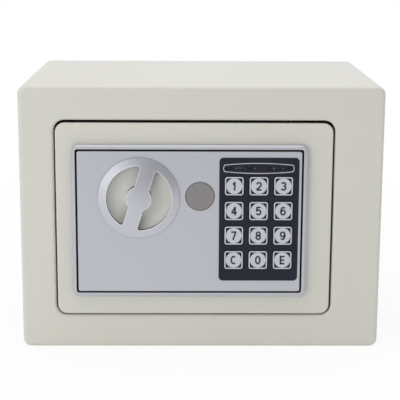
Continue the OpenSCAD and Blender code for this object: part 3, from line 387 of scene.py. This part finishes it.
def silver(name, colour, edge, **constants):
    """Satin silver paint: flakes in the colour and roughness, with a very fine skin."""
    finish = Finish(name, **constants)
    flakes = finish.effect("flake", Color=opaque(colour), Scale=3500.0, Sparkle=0.1)
    tone = finish.effect("tone", Color=flakes["Color"], Scale=14.0, Shade=0.02)
    grains = finish.effect("grain", Scale=2200.0)
    finish.feed("Base Color", tone["Color"])
    finish.rough(flakes["Mask"], 0.36, 0.46)
    finish.relief(grains["Height"], 0.008 * MM, edge)
    return finish


def metal(name, colour, along=(1.0, 1.0, 12.0), shade=0.12, roughness=(0.25, 0.42)):
    """Bare or plated metal: drawn lines in height and roughness, and faint patches in its colour."""
    finish = Finish(name, Metallic=1.0)
    lines = finish.effect("drawn", Along=along, Scale=300.0)
    tone = finish.effect("tone", Color=opaque(colour), Scale=60.0, Shade=shade)
    finish.feed("Base Color", tone["Color"])
    finish.rough(lines["Mask"], *roughness)
    finish.relief(lines["Height"], 0.006 * MM)
    return finish


def print_ink(name, colour, shade=0.04, roughness=(0.4, 0.5)):
    """Printing ink: a coat with a very fine skin."""
    return coat(name, colour, shade, patch=200.0, grain=2600.0, depth=0.008, roughness=roughness)


def dress(finish, *names):
    """Gives CAD nodes their finish."""
    for name in names:
        slots = NODES[name].data.materials
        slots.clear()
        slots.append(finish.material)


def grid_quads(rows, columns, wrap_rows=False, wrap_columns=False):
    """Quads of a grid of points, row by row; a wrapped direction joins its last line to its first."""
    row = np.arange(rows if wrap_rows else rows - 1)[:, None]
    column = np.arange(columns if wrap_columns else columns - 1)[None, :]
    next_row, next_column = (row + 1) % rows, (column + 1) % columns
    corners = [(row, column), (row, next_column), (next_row, next_column), (next_row, column)]
    return np.stack(np.broadcast_arrays(*[r * columns + c for r, c in corners]), axis=-1).reshape(-1, 4)


def add_piece(name, points, faces, finish, body, smooth=False):
    """A new piece in the shared frame: doubled points are merged, faces are turned outwards, and it rides on
    a body."""
    mesh = bpy.data.meshes.new(name)
    mesh.from_pydata(np.asarray(points).reshape(-1, 3).tolist(), [], [list(map(int, f)) for f in faces])
    shape = bmesh.new()
    shape.from_mesh(mesh)
    bmesh.ops.remove_doubles(shape, verts=shape.verts, dist=MERGE)
    bmesh.ops.recalc_face_normals(shape, faces=shape.faces)
    shape.to_mesh(mesh)
    shape.free()
    mesh.polygons.foreach_set("use_smooth", [smooth] * len(mesh.polygons))
    mesh.materials.append(finish.material)
    piece = bpy.data.objects.new(name, mesh)
    bpy.context.scene.collection.objects.link(piece)
    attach(piece, body)
    return piece


def outward(path, closed):
    """Unit normals of a path, to the right of its run: its central difference, turned by a right angle."""
    along = np.roll(path, -1, axis=0) - np.roll(path, 1, axis=0) if closed else np.gradient(path, axis=0)
    normal = np.stack([along[:, 1], -along[:, 0]], axis=1)
    return normal / np.linalg.norm(normal, axis=1, keepdims=True)


def line_profile(width, height):
    """Closed section of a printed line: flat below, with its upper corners cut at a third of its height."""
    half, cut = width / 2, height / 3
    return np.array([[-half, 0], [-half, height - cut], [cut - half, height], [half - cut, height],
                     [half, height - cut], [half, 0]])


def carried_line(path, profile, front, closed=True):
    """A section carried along a path in x and z: the section's first number goes along the path's normal, and
    its second stands up from the plane y = front, towards -Y. An open path is capped at both ends."""
    offset = path[:, None, :] + outward(path, closed)[:, None, :] * profile[None, :, :1]
    depth = np.broadcast_to(front - profile[:, 1], offset.shape[:2])
    points = np.stack([offset[..., 0], depth, offset[..., 1]], axis=-1)
    rows, columns = points.shape[:2]
    faces = grid_quads(rows, columns, closed, True).tolist()
    if not closed:
        faces += [list(range(columns)), list(range((rows - 1) * columns, rows * columns))]
    return points, faces


def turned_disc(radius, height, front, steps=48):
    """A flat disc about the origin, standing up towards -Y from y = front: its section from crown to edge to
    foot, turned through a full circle."""
    cut = height / 3
    section = np.array([[0, height], [radius - cut, height], [radius, height - cut], [radius, 0], [0, 0]])
    angle = np.linspace(0, 2 * np.pi, steps, endpoint=False)[:, None]
    x, z = section[:, 0] * np.cos(angle), section[:, 0] * np.sin(angle)
    points = np.stack([x, np.broadcast_to(front - section[:, 1], x.shape), z], axis=-1)
    return points, grid_quads(steps, len(section), wrap_rows=True)


def rounded_square(side, radius, steps=7):
    """Closed path round a square with quarter circles at its corners, anticlockwise."""
    angle = np.linspace(0, np.pi / 2, steps) + np.arange(4)[:, None] * np.pi / 2
    corner = (side / 2 - radius) * np.sqrt(2)
    middle = np.arange(4)[:, None] * np.pi / 2 + np.pi / 4
    x = corner * np.cos(middle) + radius * np.cos(angle)
    z = corner * np.sin(middle) + radius * np.sin(angle)
    return np.stack([x.ravel(), z.ravel()], axis=1)


def eye_path(width, height, end_height, steps=160):
    """Closed path of the indicator window: at each x its half height is that of a shallow bow, which falls
    from height to end_height where the round ends begin, or of the round end, whichever is lower."""
    end_r = height / 2
    end_x = width / 2 - end_r
    fall = (height - end_height) / 2
    bow_r = (end_x ** 2 + fall ** 2) / (2 * fall)
    turn = np.linspace(0, 2 * np.pi, steps, endpoint=False)
    x = width / 2 * np.cos(turn)
    bow = height / 2 - bow_r + np.sqrt(bow_r ** 2 - x ** 2)
    end = np.sqrt(np.clip(end_r ** 2 - np.clip(np.abs(x) - end_x, 0, None) ** 2, 0, None))
    return np.stack([x, np.sign(np.sin(turn)) * np.minimum(bow, end)], axis=1)


def moved(points, x=0.0, y=0.0, z=0.0):
    """Points moved by the given lengths."""
    return np.asarray(points).reshape(-1, 3) + np.array([x, y, z])


def joined(*parts):
    """Several point and face lists as one."""
    points, faces, start = [], [], 0
    for part_points, part_faces in parts:
        flat = np.asarray(part_points).reshape(-1, 3)
        points.append(flat)
        faces += [[int(i) + start for i in face] for face in part_faces]
        start += len(flat)
    return np.concatenate(points), faces


def arc(x, z, across, up, start, end, steps=18):
    """Points of an ellipse's arc about x and z, between two angles in degrees."""
    angle = np.radians(np.linspace(start, end, steps))
    return np.column_stack([x + across * np.cos(angle), z + up * np.sin(angle)])


def bar(*corners):
    """Points of a straight stroke."""
    return np.array(corners, dtype=float)


# Middle lines of the strokes, from -1 to 1 across and from 0 to 1 upwards
LOOP = arc(0, 0.31, 1, 0.31, 0, 360)
HOOK = np.concatenate([bar((-1, 0.31)), arc(0.05, 0.5, 1.05, 0.5, 180, 48)])
STROKES = {
    "0": [arc(0, 0.5, 1, 0.5, 0, 360, 32)],
    "1": [bar((0.2, -0.1), (0.2, 1.1)), bar((0.3, 0.98), (-0.75, 0.74))],
    "2": [np.concatenate([arc(0, 0.71, 1, 0.29, 170, -32), bar((-0.95, 0.02))]), bar((-1.2, 0), (1.2, 0))],
    "3": [arc(0, 0.755, 0.92, 0.245, 160, -90), arc(0, 0.255, 1, 0.255, 90, -160)],
    "4": [bar((0.5, -0.1), (0.5, 1.1)), bar((0.45, 1.0), (-1.05, 0.3)), bar((-1.2, 0.27), (1.3, 0.27))],
    "5": [bar((1, 1), (-0.9, 1)), bar((-0.7, 1.08), (-0.92, 0.44)), arc(0, 0.32, 1, 0.32, 150, -160)],
    "6": [LOOP, HOOK],
    "7": [bar((-1.2, 1), (1.2, 1)), bar((0.95, 1.02), (-0.35, -0.1))],
    "8": [arc(0, 0.755, 0.86, 0.245, 0, 360), arc(0, 0.255, 1, 0.255, 0, 360)],
    "9": [[0, 1] - LOOP, [0, 1] - HOOK],
    "c": [arc(0, 0.5, 1.05, 0.5, 48, 312, 28)],
    "e": [bar((-0.8, -0.1), (-0.8, 1.1)), bar((-0.9, 0), (1.15, 0)), bar((-0.9, 0.5), (1, 0.5)),
          bar((-0.9, 1), (1.1, 1))],
}


def character(key, width, height, weight, thickness):
    """A printed character about the origin, standing up towards -Y from y = 0: each stroke's middle line is
    scaled to fit and carries a flat section."""
    scale = np.array([(width - weight) / 2, height - weight])
    profile = line_profile(weight, thickness)
    lines = [(stroke - [0, 0.5]) * scale for stroke in STROKES[key]]
    return joined(*[carried_line(line, profile, 0.0, closed=False) for line in lines])


def raised(outline, x, z, front, height):
    """A flat outline in x and z raised from y = front towards -Y: its two rims are joined by a wall, and both
    are capped."""
    count = len(outline)
    rims = [np.column_stack([outline[:, 0] + x, np.full(count, front - rise), outline[:, 1] + z])
            for rise in (0, height)]
    walls = grid_quads(2, count, wrap_columns=True).tolist()
    return np.concatenate(rims), walls + [list(range(count)), list(range(count, 2 * count))]


def half_outline(half_width, length, steps):
    """Closed path round the right half of a rectangle about the origin, from the middle line outwards."""
    corners = np.array([[0, -1], [1, -1], [1, 1], [0, 1]]) * [half_width, length / 2]
    share = np.arange(steps)[:, None] / steps
    sides = [a + (b - a) * share for a, b in zip(corners, np.roll(corners, -1, axis=0))]
    return np.concatenate(sides)


def felt_mat(low, high, steps=40, rings=14):
    """A mat with a hole in each half. Each half is a ruled surface from the hole's circle to the half's
    outline; its upper side carries two waves and sinks near every cut edge, with the square of its nearness.
    Walls close the cut edges but not the middle line. The left half mirrors the right."""
    size, middle = high - low, (low + high) / 2
    outline = half_outline(size[0] / 2, size[1], steps)
    hole = np.array([ANCHOR_PITCH / 2, 0])
    arm = outline - hole
    circle = hole + arm / np.linalg.norm(arm, axis=1, keepdims=True) * ANCHOR_R
    share = np.linspace(0, 1, rings)[:, None, None]
    flat = circle + (outline - circle) * share
    x, y = flat[..., 0], flat[..., 1]
    to_edge = np.minimum(size[0] / 2 - x, size[1] / 2 - np.abs(y))
    to_hole = np.linalg.norm(flat - hole, axis=-1) - ANCHOR_R
    near = np.clip(1 - np.minimum(to_edge, to_hole) / FELT_EDGE, 0, 1)
    across, skew, along, start = 190, 90, 230, 1.3  # radians per metre, and where the first wave starts
    wave = FELT_WAVE * (np.sin(x * across + start) + np.sin(y * along + x * skew))
    upper = size[2] - FELT_SPARE + (wave - FELT_SINK * near ** 2) * (1 - FELT_EASE * near)
    layers = [np.stack([x, y, height], axis=-1) for height in (np.zeros_like(upper), upper)]
    count = len(outline)
    lower_quads = grid_quads(rings, count, wrap_columns=True)
    to_upper = rings * count
    first = np.arange(count)
    second = (first + 1) % count
    hole_wall = np.stack([first, second, second + to_upper, first + to_upper], axis=1)
    on_middle = outline[:, 0] < MERGE
    outer_wall = hole_wall[~(on_middle & np.roll(on_middle, -1))] + (rings - 1) * count
    right = np.concatenate([layer.reshape(-1, 3) for layer in layers])
    faces = np.concatenate([lower_quads[:, ::-1], lower_quads + to_upper, hole_wall, outer_wall])
    points, faces = joined((right, faces), (right * [-1, 1, 1], faces[:, ::-1]))
    return moved(points, middle[0], middle[1], low[2]), faces


class SAFE_OT_cabinet(bpy.types.Operator):
    """Powder coat on the cabinet, the door and the lock cover"""
    bl_idname = "safe.cabinet"
    bl_label = "Cabinet and door"

    def execute(self, context):
        shell = coat("Powder coat", context.scene.safe_colours.shell, shade=0.025, grain=1300.0, depth=0.035,
                     roughness=(0.42, 0.52), edge=0.6 * MM, Coat_Weight=0.3, Coat_Roughness=0.25)
        dress(shell, "front_frame", "body_wrap", "back_panel", "door_plate", "lock_cover")
        return {"FINISHED"}


class SAFE_OT_panel(bpy.types.Operator):
    """Silver panel with its black ground, other black mouldings, and the plug over the keyhole"""
    bl_idname = "safe.panel"
    bl_label = "Front panel"

    def execute(self, context):
        colours = context.scene.safe_colours
        satin = silver("Satin silver", colours.silver, edge=0.3 * MM, Metallic=0.5)
        dress(satin, "panel_frame", "face_plate")
        black = coat("Black moulding", colours.black, shade=0.2, grain=900.0, roughness=(0.45, 0.6),
                     Specular_IOR_Level=0.15)
        dress(black, "panel_base", "buzzer", "battery_box", "battery_cover", "reset_switch")
        grey = coat("Grey moulding", colours.plug, shade=0.04, patch=40.0, grain=1100.0, depth=0.02,
                    roughness=(0.17, 0.24), edge=0.5 * MM)
        dress(grey, "key_cover")
        return {"FINISHED"}


class SAFE_OT_knob(bpy.types.Operator):
    """Silver knob with its cream bowl"""
    bl_idname = "safe.knob"
    bl_label = "Knob"

    def crown(self, colours):
        """Satin silver on the dome, with a painted highlight in a lighter colour, not metallic, at the rims
        of the finger recesses; below a small depth under the dome's sphere, the walls of the recesses take a
        dark painted shade, not metallic. Round the pole, where the triangles are thinnest, the normal is the
        sphere's own."""
        low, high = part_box("knob_grip")
        radius = (high.x - low.x) / 2
        dome = (radius ** 2 + DOME_RISE ** 2) / (2 * DOME_RISE)
        finish = silver("Knob silver", colours.silver, edge=0.25 * MM)
        tree = finish.tree
        offset, from_axis = finish.offset_from(((low.x + high.x) / 2, low.y + dome, (low.z + high.z) / 2))
        reach = operate(tree, "VectorMath", "LENGTH", offset)["Value"]
        # Painted shade: dark colour on the recess walls below a small depth under the dome
        recess_shade = spread(tree, reach, dome - SHADE_DEPTH, dome - 2 * SHADE_DEPTH)
        pole = spread(tree, from_axis, 2 * POLE_RADIUS, POLE_RADIUS)
        inner = spread(tree, from_axis, radius - RIM_CLEAR, radius - 2 * RIM_CLEAR)
        rims = arithmetic(tree, "SUBTRACT", inner, pole)
        # Painted highlight: a lighter colour on the rounded rims of the finger recesses
        highlight_mask = arithmetic(tree, "MULTIPLY", rims, shared(tree, "edge_highlight", Radius=HIGHLIGHT_RADIUS)["Mask"])
        paint = finish.fed("Base Color")
        highlighted = place(tree, "MixRGB", Fac=highlight_mask, Color1=paint, Color2=opaque(colours.highlighted))
        mixed = place(tree, "MixRGB", Fac=recess_shade, Color1=highlighted.outputs[0], Color2=opaque(colours.recess_shade))
        finish.feed("Base Color", mixed.outputs[0])
        plain = arithmetic(tree, "MAXIMUM", recess_shade, highlight_mask)
        # Metallic falls to nothing under the painted highlight and the painted shade
        finish.feed("Metallic", spread(tree, plain, start=KNOB_SHEEN, end=0.0))
        outwards = place(tree, "VectorTransform", Vector=offset)
        outwards.vector_type, outwards.convert_from, outwards.convert_to = "NORMAL", "OBJECT", "WORLD"
        under = finish.fed("Normal").node.inputs["Normal"]
        even = place(tree, "MixRGB", Fac=pole, Color1=under.links[0].from_socket, Color2=outwards.outputs[0])
        tree.links.new(even.outputs[0], under)
        return finish

    def execute(self, context):
        colours = context.scene.safe_colours
        dress(self.crown(colours), "knob_grip")
        cream = coat("Cream moulding", colours.dish, shade=0.05, patch=30.0, depth=0.01,
                     roughness=(0.38, 0.48))
        dress(cream, "knob_dish")
        return {"FINISHED"}


class SAFE_OT_keypad(bpy.types.Operator):
    """Film, keys, lens, lamps and the board behind them"""
    bl_idname = "safe.keypad"
    bl_label = "Keypad"

    def lens(self, colour):
        """Smoked lens: the mask on it leaves a level band a quarter clear, in front of the lamps."""
        low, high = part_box("indicator_lens")
        finish = coat("Dark lens", colour, shade=0.08, patch=50.0, grain=800.0, depth=0.0004,
                      roughness=(0.3, 0.38), Specular_IOR_Level=0.15)
        tree = finish.tree
        offset = finish.offset_from((low + high) / 2)[0]
        upright = operate(tree, "VectorMath", "MULTIPLY", offset, (0.0, 0.0, 1.0))["Vector"]
        height = operate(tree, "VectorMath", "LENGTH", upright)["Value"]
        half = LENS_BAND / 2
        finish.feed("Alpha", spread(tree, height, half, half + LENS_BLUR, LENS_CLEAR, LENS_MASKED))
        return finish

    def execute(self, context):
        colours = context.scene.safe_colours
        film = coat("Keypad film", colours.film, shade=0.12, patch=35.0, grain=2600.0, depth=0.012,
                    roughness=(0.34, 0.44), Specular_IOR_Level=0.15)
        dress(film, "keypad_sheet", *["key_" + key for key in KEYS])
        dress(self.lens(colours.lens), "indicator_lens")
        for node in LAMPS:
            colour = getattr(colours, node)
            # The lamps are unlit: their faint glow is painted light, standing in for the light that reaches
            # them through the smoked lens
            lamp = coat("Lamp " + node[len("led_"):], colour, shade=0.2, patch=400.0, grain=900.0,
                        depth=0.004, roughness=(0.15, 0.25), Emission_Color=opaque(colour),
                        Emission_Strength=0.9)
            dress(lamp, node)
        board = coat("Circuit board", colours.board, shade=0.35, patch=600.0, grain=700.0,
                     roughness=(0.35, 0.5))
        dress(board, "keypad_board")
        return {"FINISHED"}


class SAFE_OT_metalwork(bpy.types.Operator):
    """Zinc plate, steel and brass of the works, with the coil, the cells and the reset button"""
    bl_idname = "safe.metalwork"
    bl_label = "Works behind the door"

    def execute(self, context):
        colours = context.scene.safe_colours
        dress(metal("Zinc plate", colours.zinc, shade=0.2, roughness=(0.3, 0.48)),
              "hinge_tabs", "cover_posts", "crank", "bolt_carriage", "bolt_guide", "solenoid_frame",
              "lift_cam")
        dress(metal("Dark pin steel", colours.pin, roughness=(0.4, 0.55)), "hinge_pins")
        dress(metal("Bright steel", colours.steel, along=(14.0, 1.0, 1.0), roughness=(0.18, 0.34)),
              "cover_screws", "panel_screws", "key_domes", "knob_spindle", "spindle_clip", "locking_bolts",
              "guide_studs", "plunger", "plunger_spring", "lock_housing", "lock_nut", "battery_contacts")
        dress(metal("Brass", colours.brass, along=(1.0, 14.0, 1.0)), "spindle_bush", "lock_core")
        dress(coat("Coil wrap", colours.coil, shade=0.3, patch=300.0, grain=500.0, depth=0.1),
              "solenoid_coil")
        dress(coat("Cell sleeve", colours.cell, shade=0.25, patch=60.0, depth=0.01, roughness=(0.25, 0.4)),
              "battery_cells")
        dress(coat("Red moulding", colours.button, shade=0.12, patch=200.0, roughness=(0.3, 0.4)),
              "reset_button")
        return {"FINISHED"}


class SAFE_OT_key_prints(bpy.types.Operator):
    """Light frame and disc with a dark character on every key"""
    bl_idname = "safe.key_prints"
    bl_label = "Key prints"

    def execute(self, context):
        prints, colours = context.scene.safe_prints, context.scene.safe_colours
        light = print_ink("Light ink", colours.ink)
        dark = print_ink("Dark ink", colours.film, shade=0.1, roughness=(0.45, 0.55))
        disc_height = prints.ink_height * DISC_RISE
        for key in KEYS:
            body = "key_" + key
            low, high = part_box(body)
            x, z, front = (low.x + high.x) / 2, (low.z + high.z) / 2, low.y
            side = high.x - low.x - 2 * KEY_FLANGE
            path = rounded_square(side - 2 * prints.frame_inset, KEY_CORNER - prints.frame_inset)
            line = carried_line(path, line_profile(prints.frame_line, prints.ink_height), front)
            disc = turned_disc(prints.disc_diameter / 2, disc_height, front)
            points, faces = joined(line, disc)
            add_piece("key_print_" + key, moved(points, x, 0, z), faces, light, body)
            points, faces = character(
                key, prints.digit_width, prints.digit_height, prints.digit_weight, prints.ink_height)
            points = moved(points, x, front - disc_height, z)
            add_piece("key_mark_" + key, points, faces, dark, body)
        return {"FINISHED"}


class SAFE_OT_indicator_prints(bpy.types.Operator):
    """Light line round the indicator window and the marks beside its lamps"""
    bl_idname = "safe.indicator_prints"
    bl_label = "Indicator prints"

    def execute(self, context):
        prints, colours = context.scene.safe_prints, context.scene.safe_colours
        low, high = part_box("indicator_lens")
        x, z, front = (low.x + high.x) / 2, (low.z + high.z) / 2, low.y
        path = eye_path(prints.eye_width, prints.eye_height, EYE_END)
        points, faces = carried_line(path, line_profile(prints.eye_line, prints.ink_height), front)
        light = print_ink("Line ink", colours.ink, shade=0.06)
        add_piece("eye_line", moved(points, x - EYE_LEFT, 0, z), faces, light, "door")
        # Light arrowhead marks raised on the lens beside each lamp, longer on the left than on the right
        marks = []
        for lamp in LAMPS:
            lamp_low, lamp_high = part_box(lamp)
            middle = (lamp_low.x + lamp_high.x) / 2
            for side, length in ((-1, MARK_LENGTH), (1, MARK_SHORT)):
                outline = MARK_OUTLINE * length * [side, 1]
                marks.append(raised(outline, middle + side * MARK_PLACE, z, front, prints.ink_height))
        points, faces = joined(*marks)
        faint = print_ink("Mark ink", colours.mark, shade=0.1)
        add_piece("lamp_marks", points, faces, faint, "door")
        return {"FINISHED"}


class SAFE_OT_floor_felt(bpy.types.Operator):
    """Felt mat on the cabinet's floor, with its two anchor holes"""
    bl_idname = "safe.floor_felt"
    bl_label = "Floor felt"

    def execute(self, context):
        finish = Finish("Felt", Sheen_Weight=0.35, Sheen_Roughness=0.6)
        fibres = finish.effect("drawn", Along=(1.0, 5.0, 1.0), Scale=700.0)
        tone = finish.effect("tone", Color=opaque(context.scene.safe_colours.felt), Scale=900.0, Shade=0.5)
        grains = finish.effect("grain", Scale=1600.0)
        finish.feed("Base Color", tone["Color"])
        finish.rough(fibres["Mask"], 0.85, 1.0)
        finish.relief(arithmetic(finish.tree, "ADD", fibres["Height"], grains["Height"]), 0.35 * MM)
        low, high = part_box("floor_mat")
        points, faces = felt_mat(np.array(low), np.array(high))
        mat = add_piece("felt_mat", points, faces, finish, "cabinet", smooth=True)
        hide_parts("floor_mat")
        return {"FINISHED"}


def floor_disc(radius, rings=9, steps=96):
    """A flat disc about the origin: circles of points at even distances, joined ring to ring."""
    angle = np.linspace(0, 2 * np.pi, steps, endpoint=False)
    reach = np.linspace(0.0, radius, rings)[:, None]
    points = np.stack([reach * np.cos(angle), reach * np.sin(angle), np.zeros((rings, steps))], axis=-1)
    return points.reshape(-1, 3), grid_quads(rings, steps, wrap_columns=True)


def seen_ray(tree):
    """1 for camera, glossy and transmission rays, 0 for the rays that light the safe."""
    path = place(tree, "LightPath").outputs
    either = arithmetic(tree, "MAXIMUM", path["Is Camera Ray"], path["Is Glossy Ray"])
    return arithmetic(tree, "MAXIMUM", either, path["Is Transmission Ray"])


def pale_floor(colour):
    """Plain floor whose look is mixed with white for the rays that see it: mostly white round the safe, so
    that its shadow stays, and all white further out. The rays that light the safe meet the plain floor."""
    finish = Finish("Pale floor", Roughness=0.9)
    tree = finish.tree
    tone = finish.effect("tone", Color=opaque(colour), Scale=6.0, Shade=0.01)
    finish.feed("Base Color", tone["Color"])
    reach = operate(tree, "VectorMath", "LENGTH", finish.where)["Value"]
    white = spread(tree, reach, SHADOW_R, 2 * SHADOW_R, FLOOR_GLOW, 1.0)
    share = arithmetic(tree, "MULTIPLY", seen_ray(tree), white)
    glow = place(tree, "Emission", Strength=1.0)
    mix = place(tree, "MixShader", Fac=share)
    tree.links.new(finish.shader.outputs[0], mix.inputs[1])
    tree.links.new(glow.outputs[0], mix.inputs[2])
    tree.links.new(mix.outputs[0], tree.nodes["Material Output"].inputs["Surface"])
    return finish


def surround(tree, sky):
    """White backdrop for camera and transmission rays, and even light for the rest. Glossy rays see the white
    backdrop behind the safe fade to a dim room on the camera's side."""
    path = place(tree, "LightPath").outputs
    behind = place(tree, "SeparateXYZ", Vector=place(tree, "TexCoord").outputs["Generated"]).outputs["Y"]
    room = spread(tree, behind, *ROOM_FADE, ROOM_GLOW, 1.0)
    clear = arithmetic(tree, "MAXIMUM", path["Is Camera Ray"], path["Is Transmission Ray"])
    plain = spread(tree, clear, start=sky, end=1.0)
    strength = spread(tree, path["Is Glossy Ray"], start=plain, end=room)
    ground = tree.nodes["Background"]
    ground.inputs["Color"].default_value = (1.0, 1.0, 1.0, 1.0)
    tree.links.new(strength, ground.inputs["Strength"])


def area_light(name, location, target, size, power):
    """A square softbox that looks at a point."""
    lamp = bpy.data.lights.new(name, "AREA")
    lamp.shape, lamp.size, lamp.energy = "SQUARE", size, power
    light = bpy.data.objects.new(name, lamp)
    light.location = location
    light.rotation_euler = (Vector(target) - Vector(location)).to_track_quat("-Z", "Y").to_euler()
    bpy.context.scene.collection.objects.link(light)


def view_matrix(location, yaw, pitch, roll):
    """Camera matrix for a view along +Y that is rolled, pitched and then yawed."""
    turn = Matrix.Rotation(yaw, 4, "Z") @ Matrix.Rotation(pitch, 4, "X") @ Matrix.Rotation(roll, 4, "Y")
    return Matrix.Translation(location) @ turn @ Matrix.Rotation(math.pi / 2, 4, "X")


class SAFE_OT_stage(bpy.types.Operator):
    """Pale floor, white surround, three softboxes and the camera"""
    bl_idname = "safe.stage"
    bl_label = "Stage"

    def execute(self, context):
        scene, stage = context.scene, context.scene.safe_stage
        points, faces = floor_disc(FLOOR_R)
        mesh = bpy.data.meshes.new("floor")
        mesh.from_pydata(points.tolist(), [], faces.tolist())
        mesh.materials.append(pale_floor(scene.safe_colours.floor).material)
        floor = bpy.data.objects.new("floor", mesh)
        scene.collection.objects.link(floor)

        world = bpy.data.worlds.new("Surround")
        world.use_nodes = True
        scene.world = world
        surround(world.node_tree, stage.sky)

        for name, (location, target, side) in SOFTBOXES.items():
            area_light(name, location, target, side, getattr(stage, name + "_power"))

        lens = bpy.data.cameras.new("camera")
        lens.lens, lens.sensor_width = stage.lens, SENSOR_WIDTH
        camera = bpy.data.objects.new("camera", lens)
        camera.matrix_world = view_matrix(stage.camera_place, *stage.camera_turn)
        scene.collection.objects.link(camera)
        scene.camera = camera
        scene.view_settings.view_transform = "Standard"
        return {"FINISHED"}


OPERATORS = (
    SAFE_OT_cabinet, SAFE_OT_panel, SAFE_OT_knob, SAFE_OT_keypad, SAFE_OT_metalwork, SAFE_OT_key_prints,
    SAFE_OT_indicator_prints, SAFE_OT_floor_felt, SAFE_OT_stage,
)


class SAFE_PT_sidebar(bpy.types.Panel):
    """Lists the steps that finish the safe"""
    bl_idname = "SAFE_PT_sidebar"
    bl_label = "In-room safe"
    bl_space_type = "VIEW_3D"
    bl_region_type = "UI"
    bl_category = "Safe"

    def draw(self, context):
        for operator in OPERATORS:
            self.layout.operator(operator.bl_idname)
        for group in (context.scene.safe_colours, context.scene.safe_prints, context.scene.safe_stage):
            for name in group.__annotations__:
                self.layout.prop(group, name)


CLASSES = (SafeColours, SafePrints, SafeStage, *OPERATORS, SAFE_PT_sidebar)


def register():
    for entry in CLASSES:
        bpy.utils.register_class(entry)
    bpy.types.Scene.safe_colours = bpy.props.PointerProperty(type=SafeColours)
    bpy.types.Scene.safe_prints = bpy.props.PointerProperty(type=SafePrints)
    bpy.types.Scene.safe_stage = bpy.props.PointerProperty(type=SafeStage)


def unregister():
    del bpy.types.Scene.safe_colours
    del bpy.types.Scene.safe_prints
    del bpy.types.Scene.safe_stage
    for entry in reversed(CLASSES):
        bpy.utils.unregister_class(entry)


def main():
    register()
    for operator in OPERATORS:
        getattr(bpy.ops.safe, operator.bl_idname.split(".")[1])()


if __name__ == "__main__":
    main()
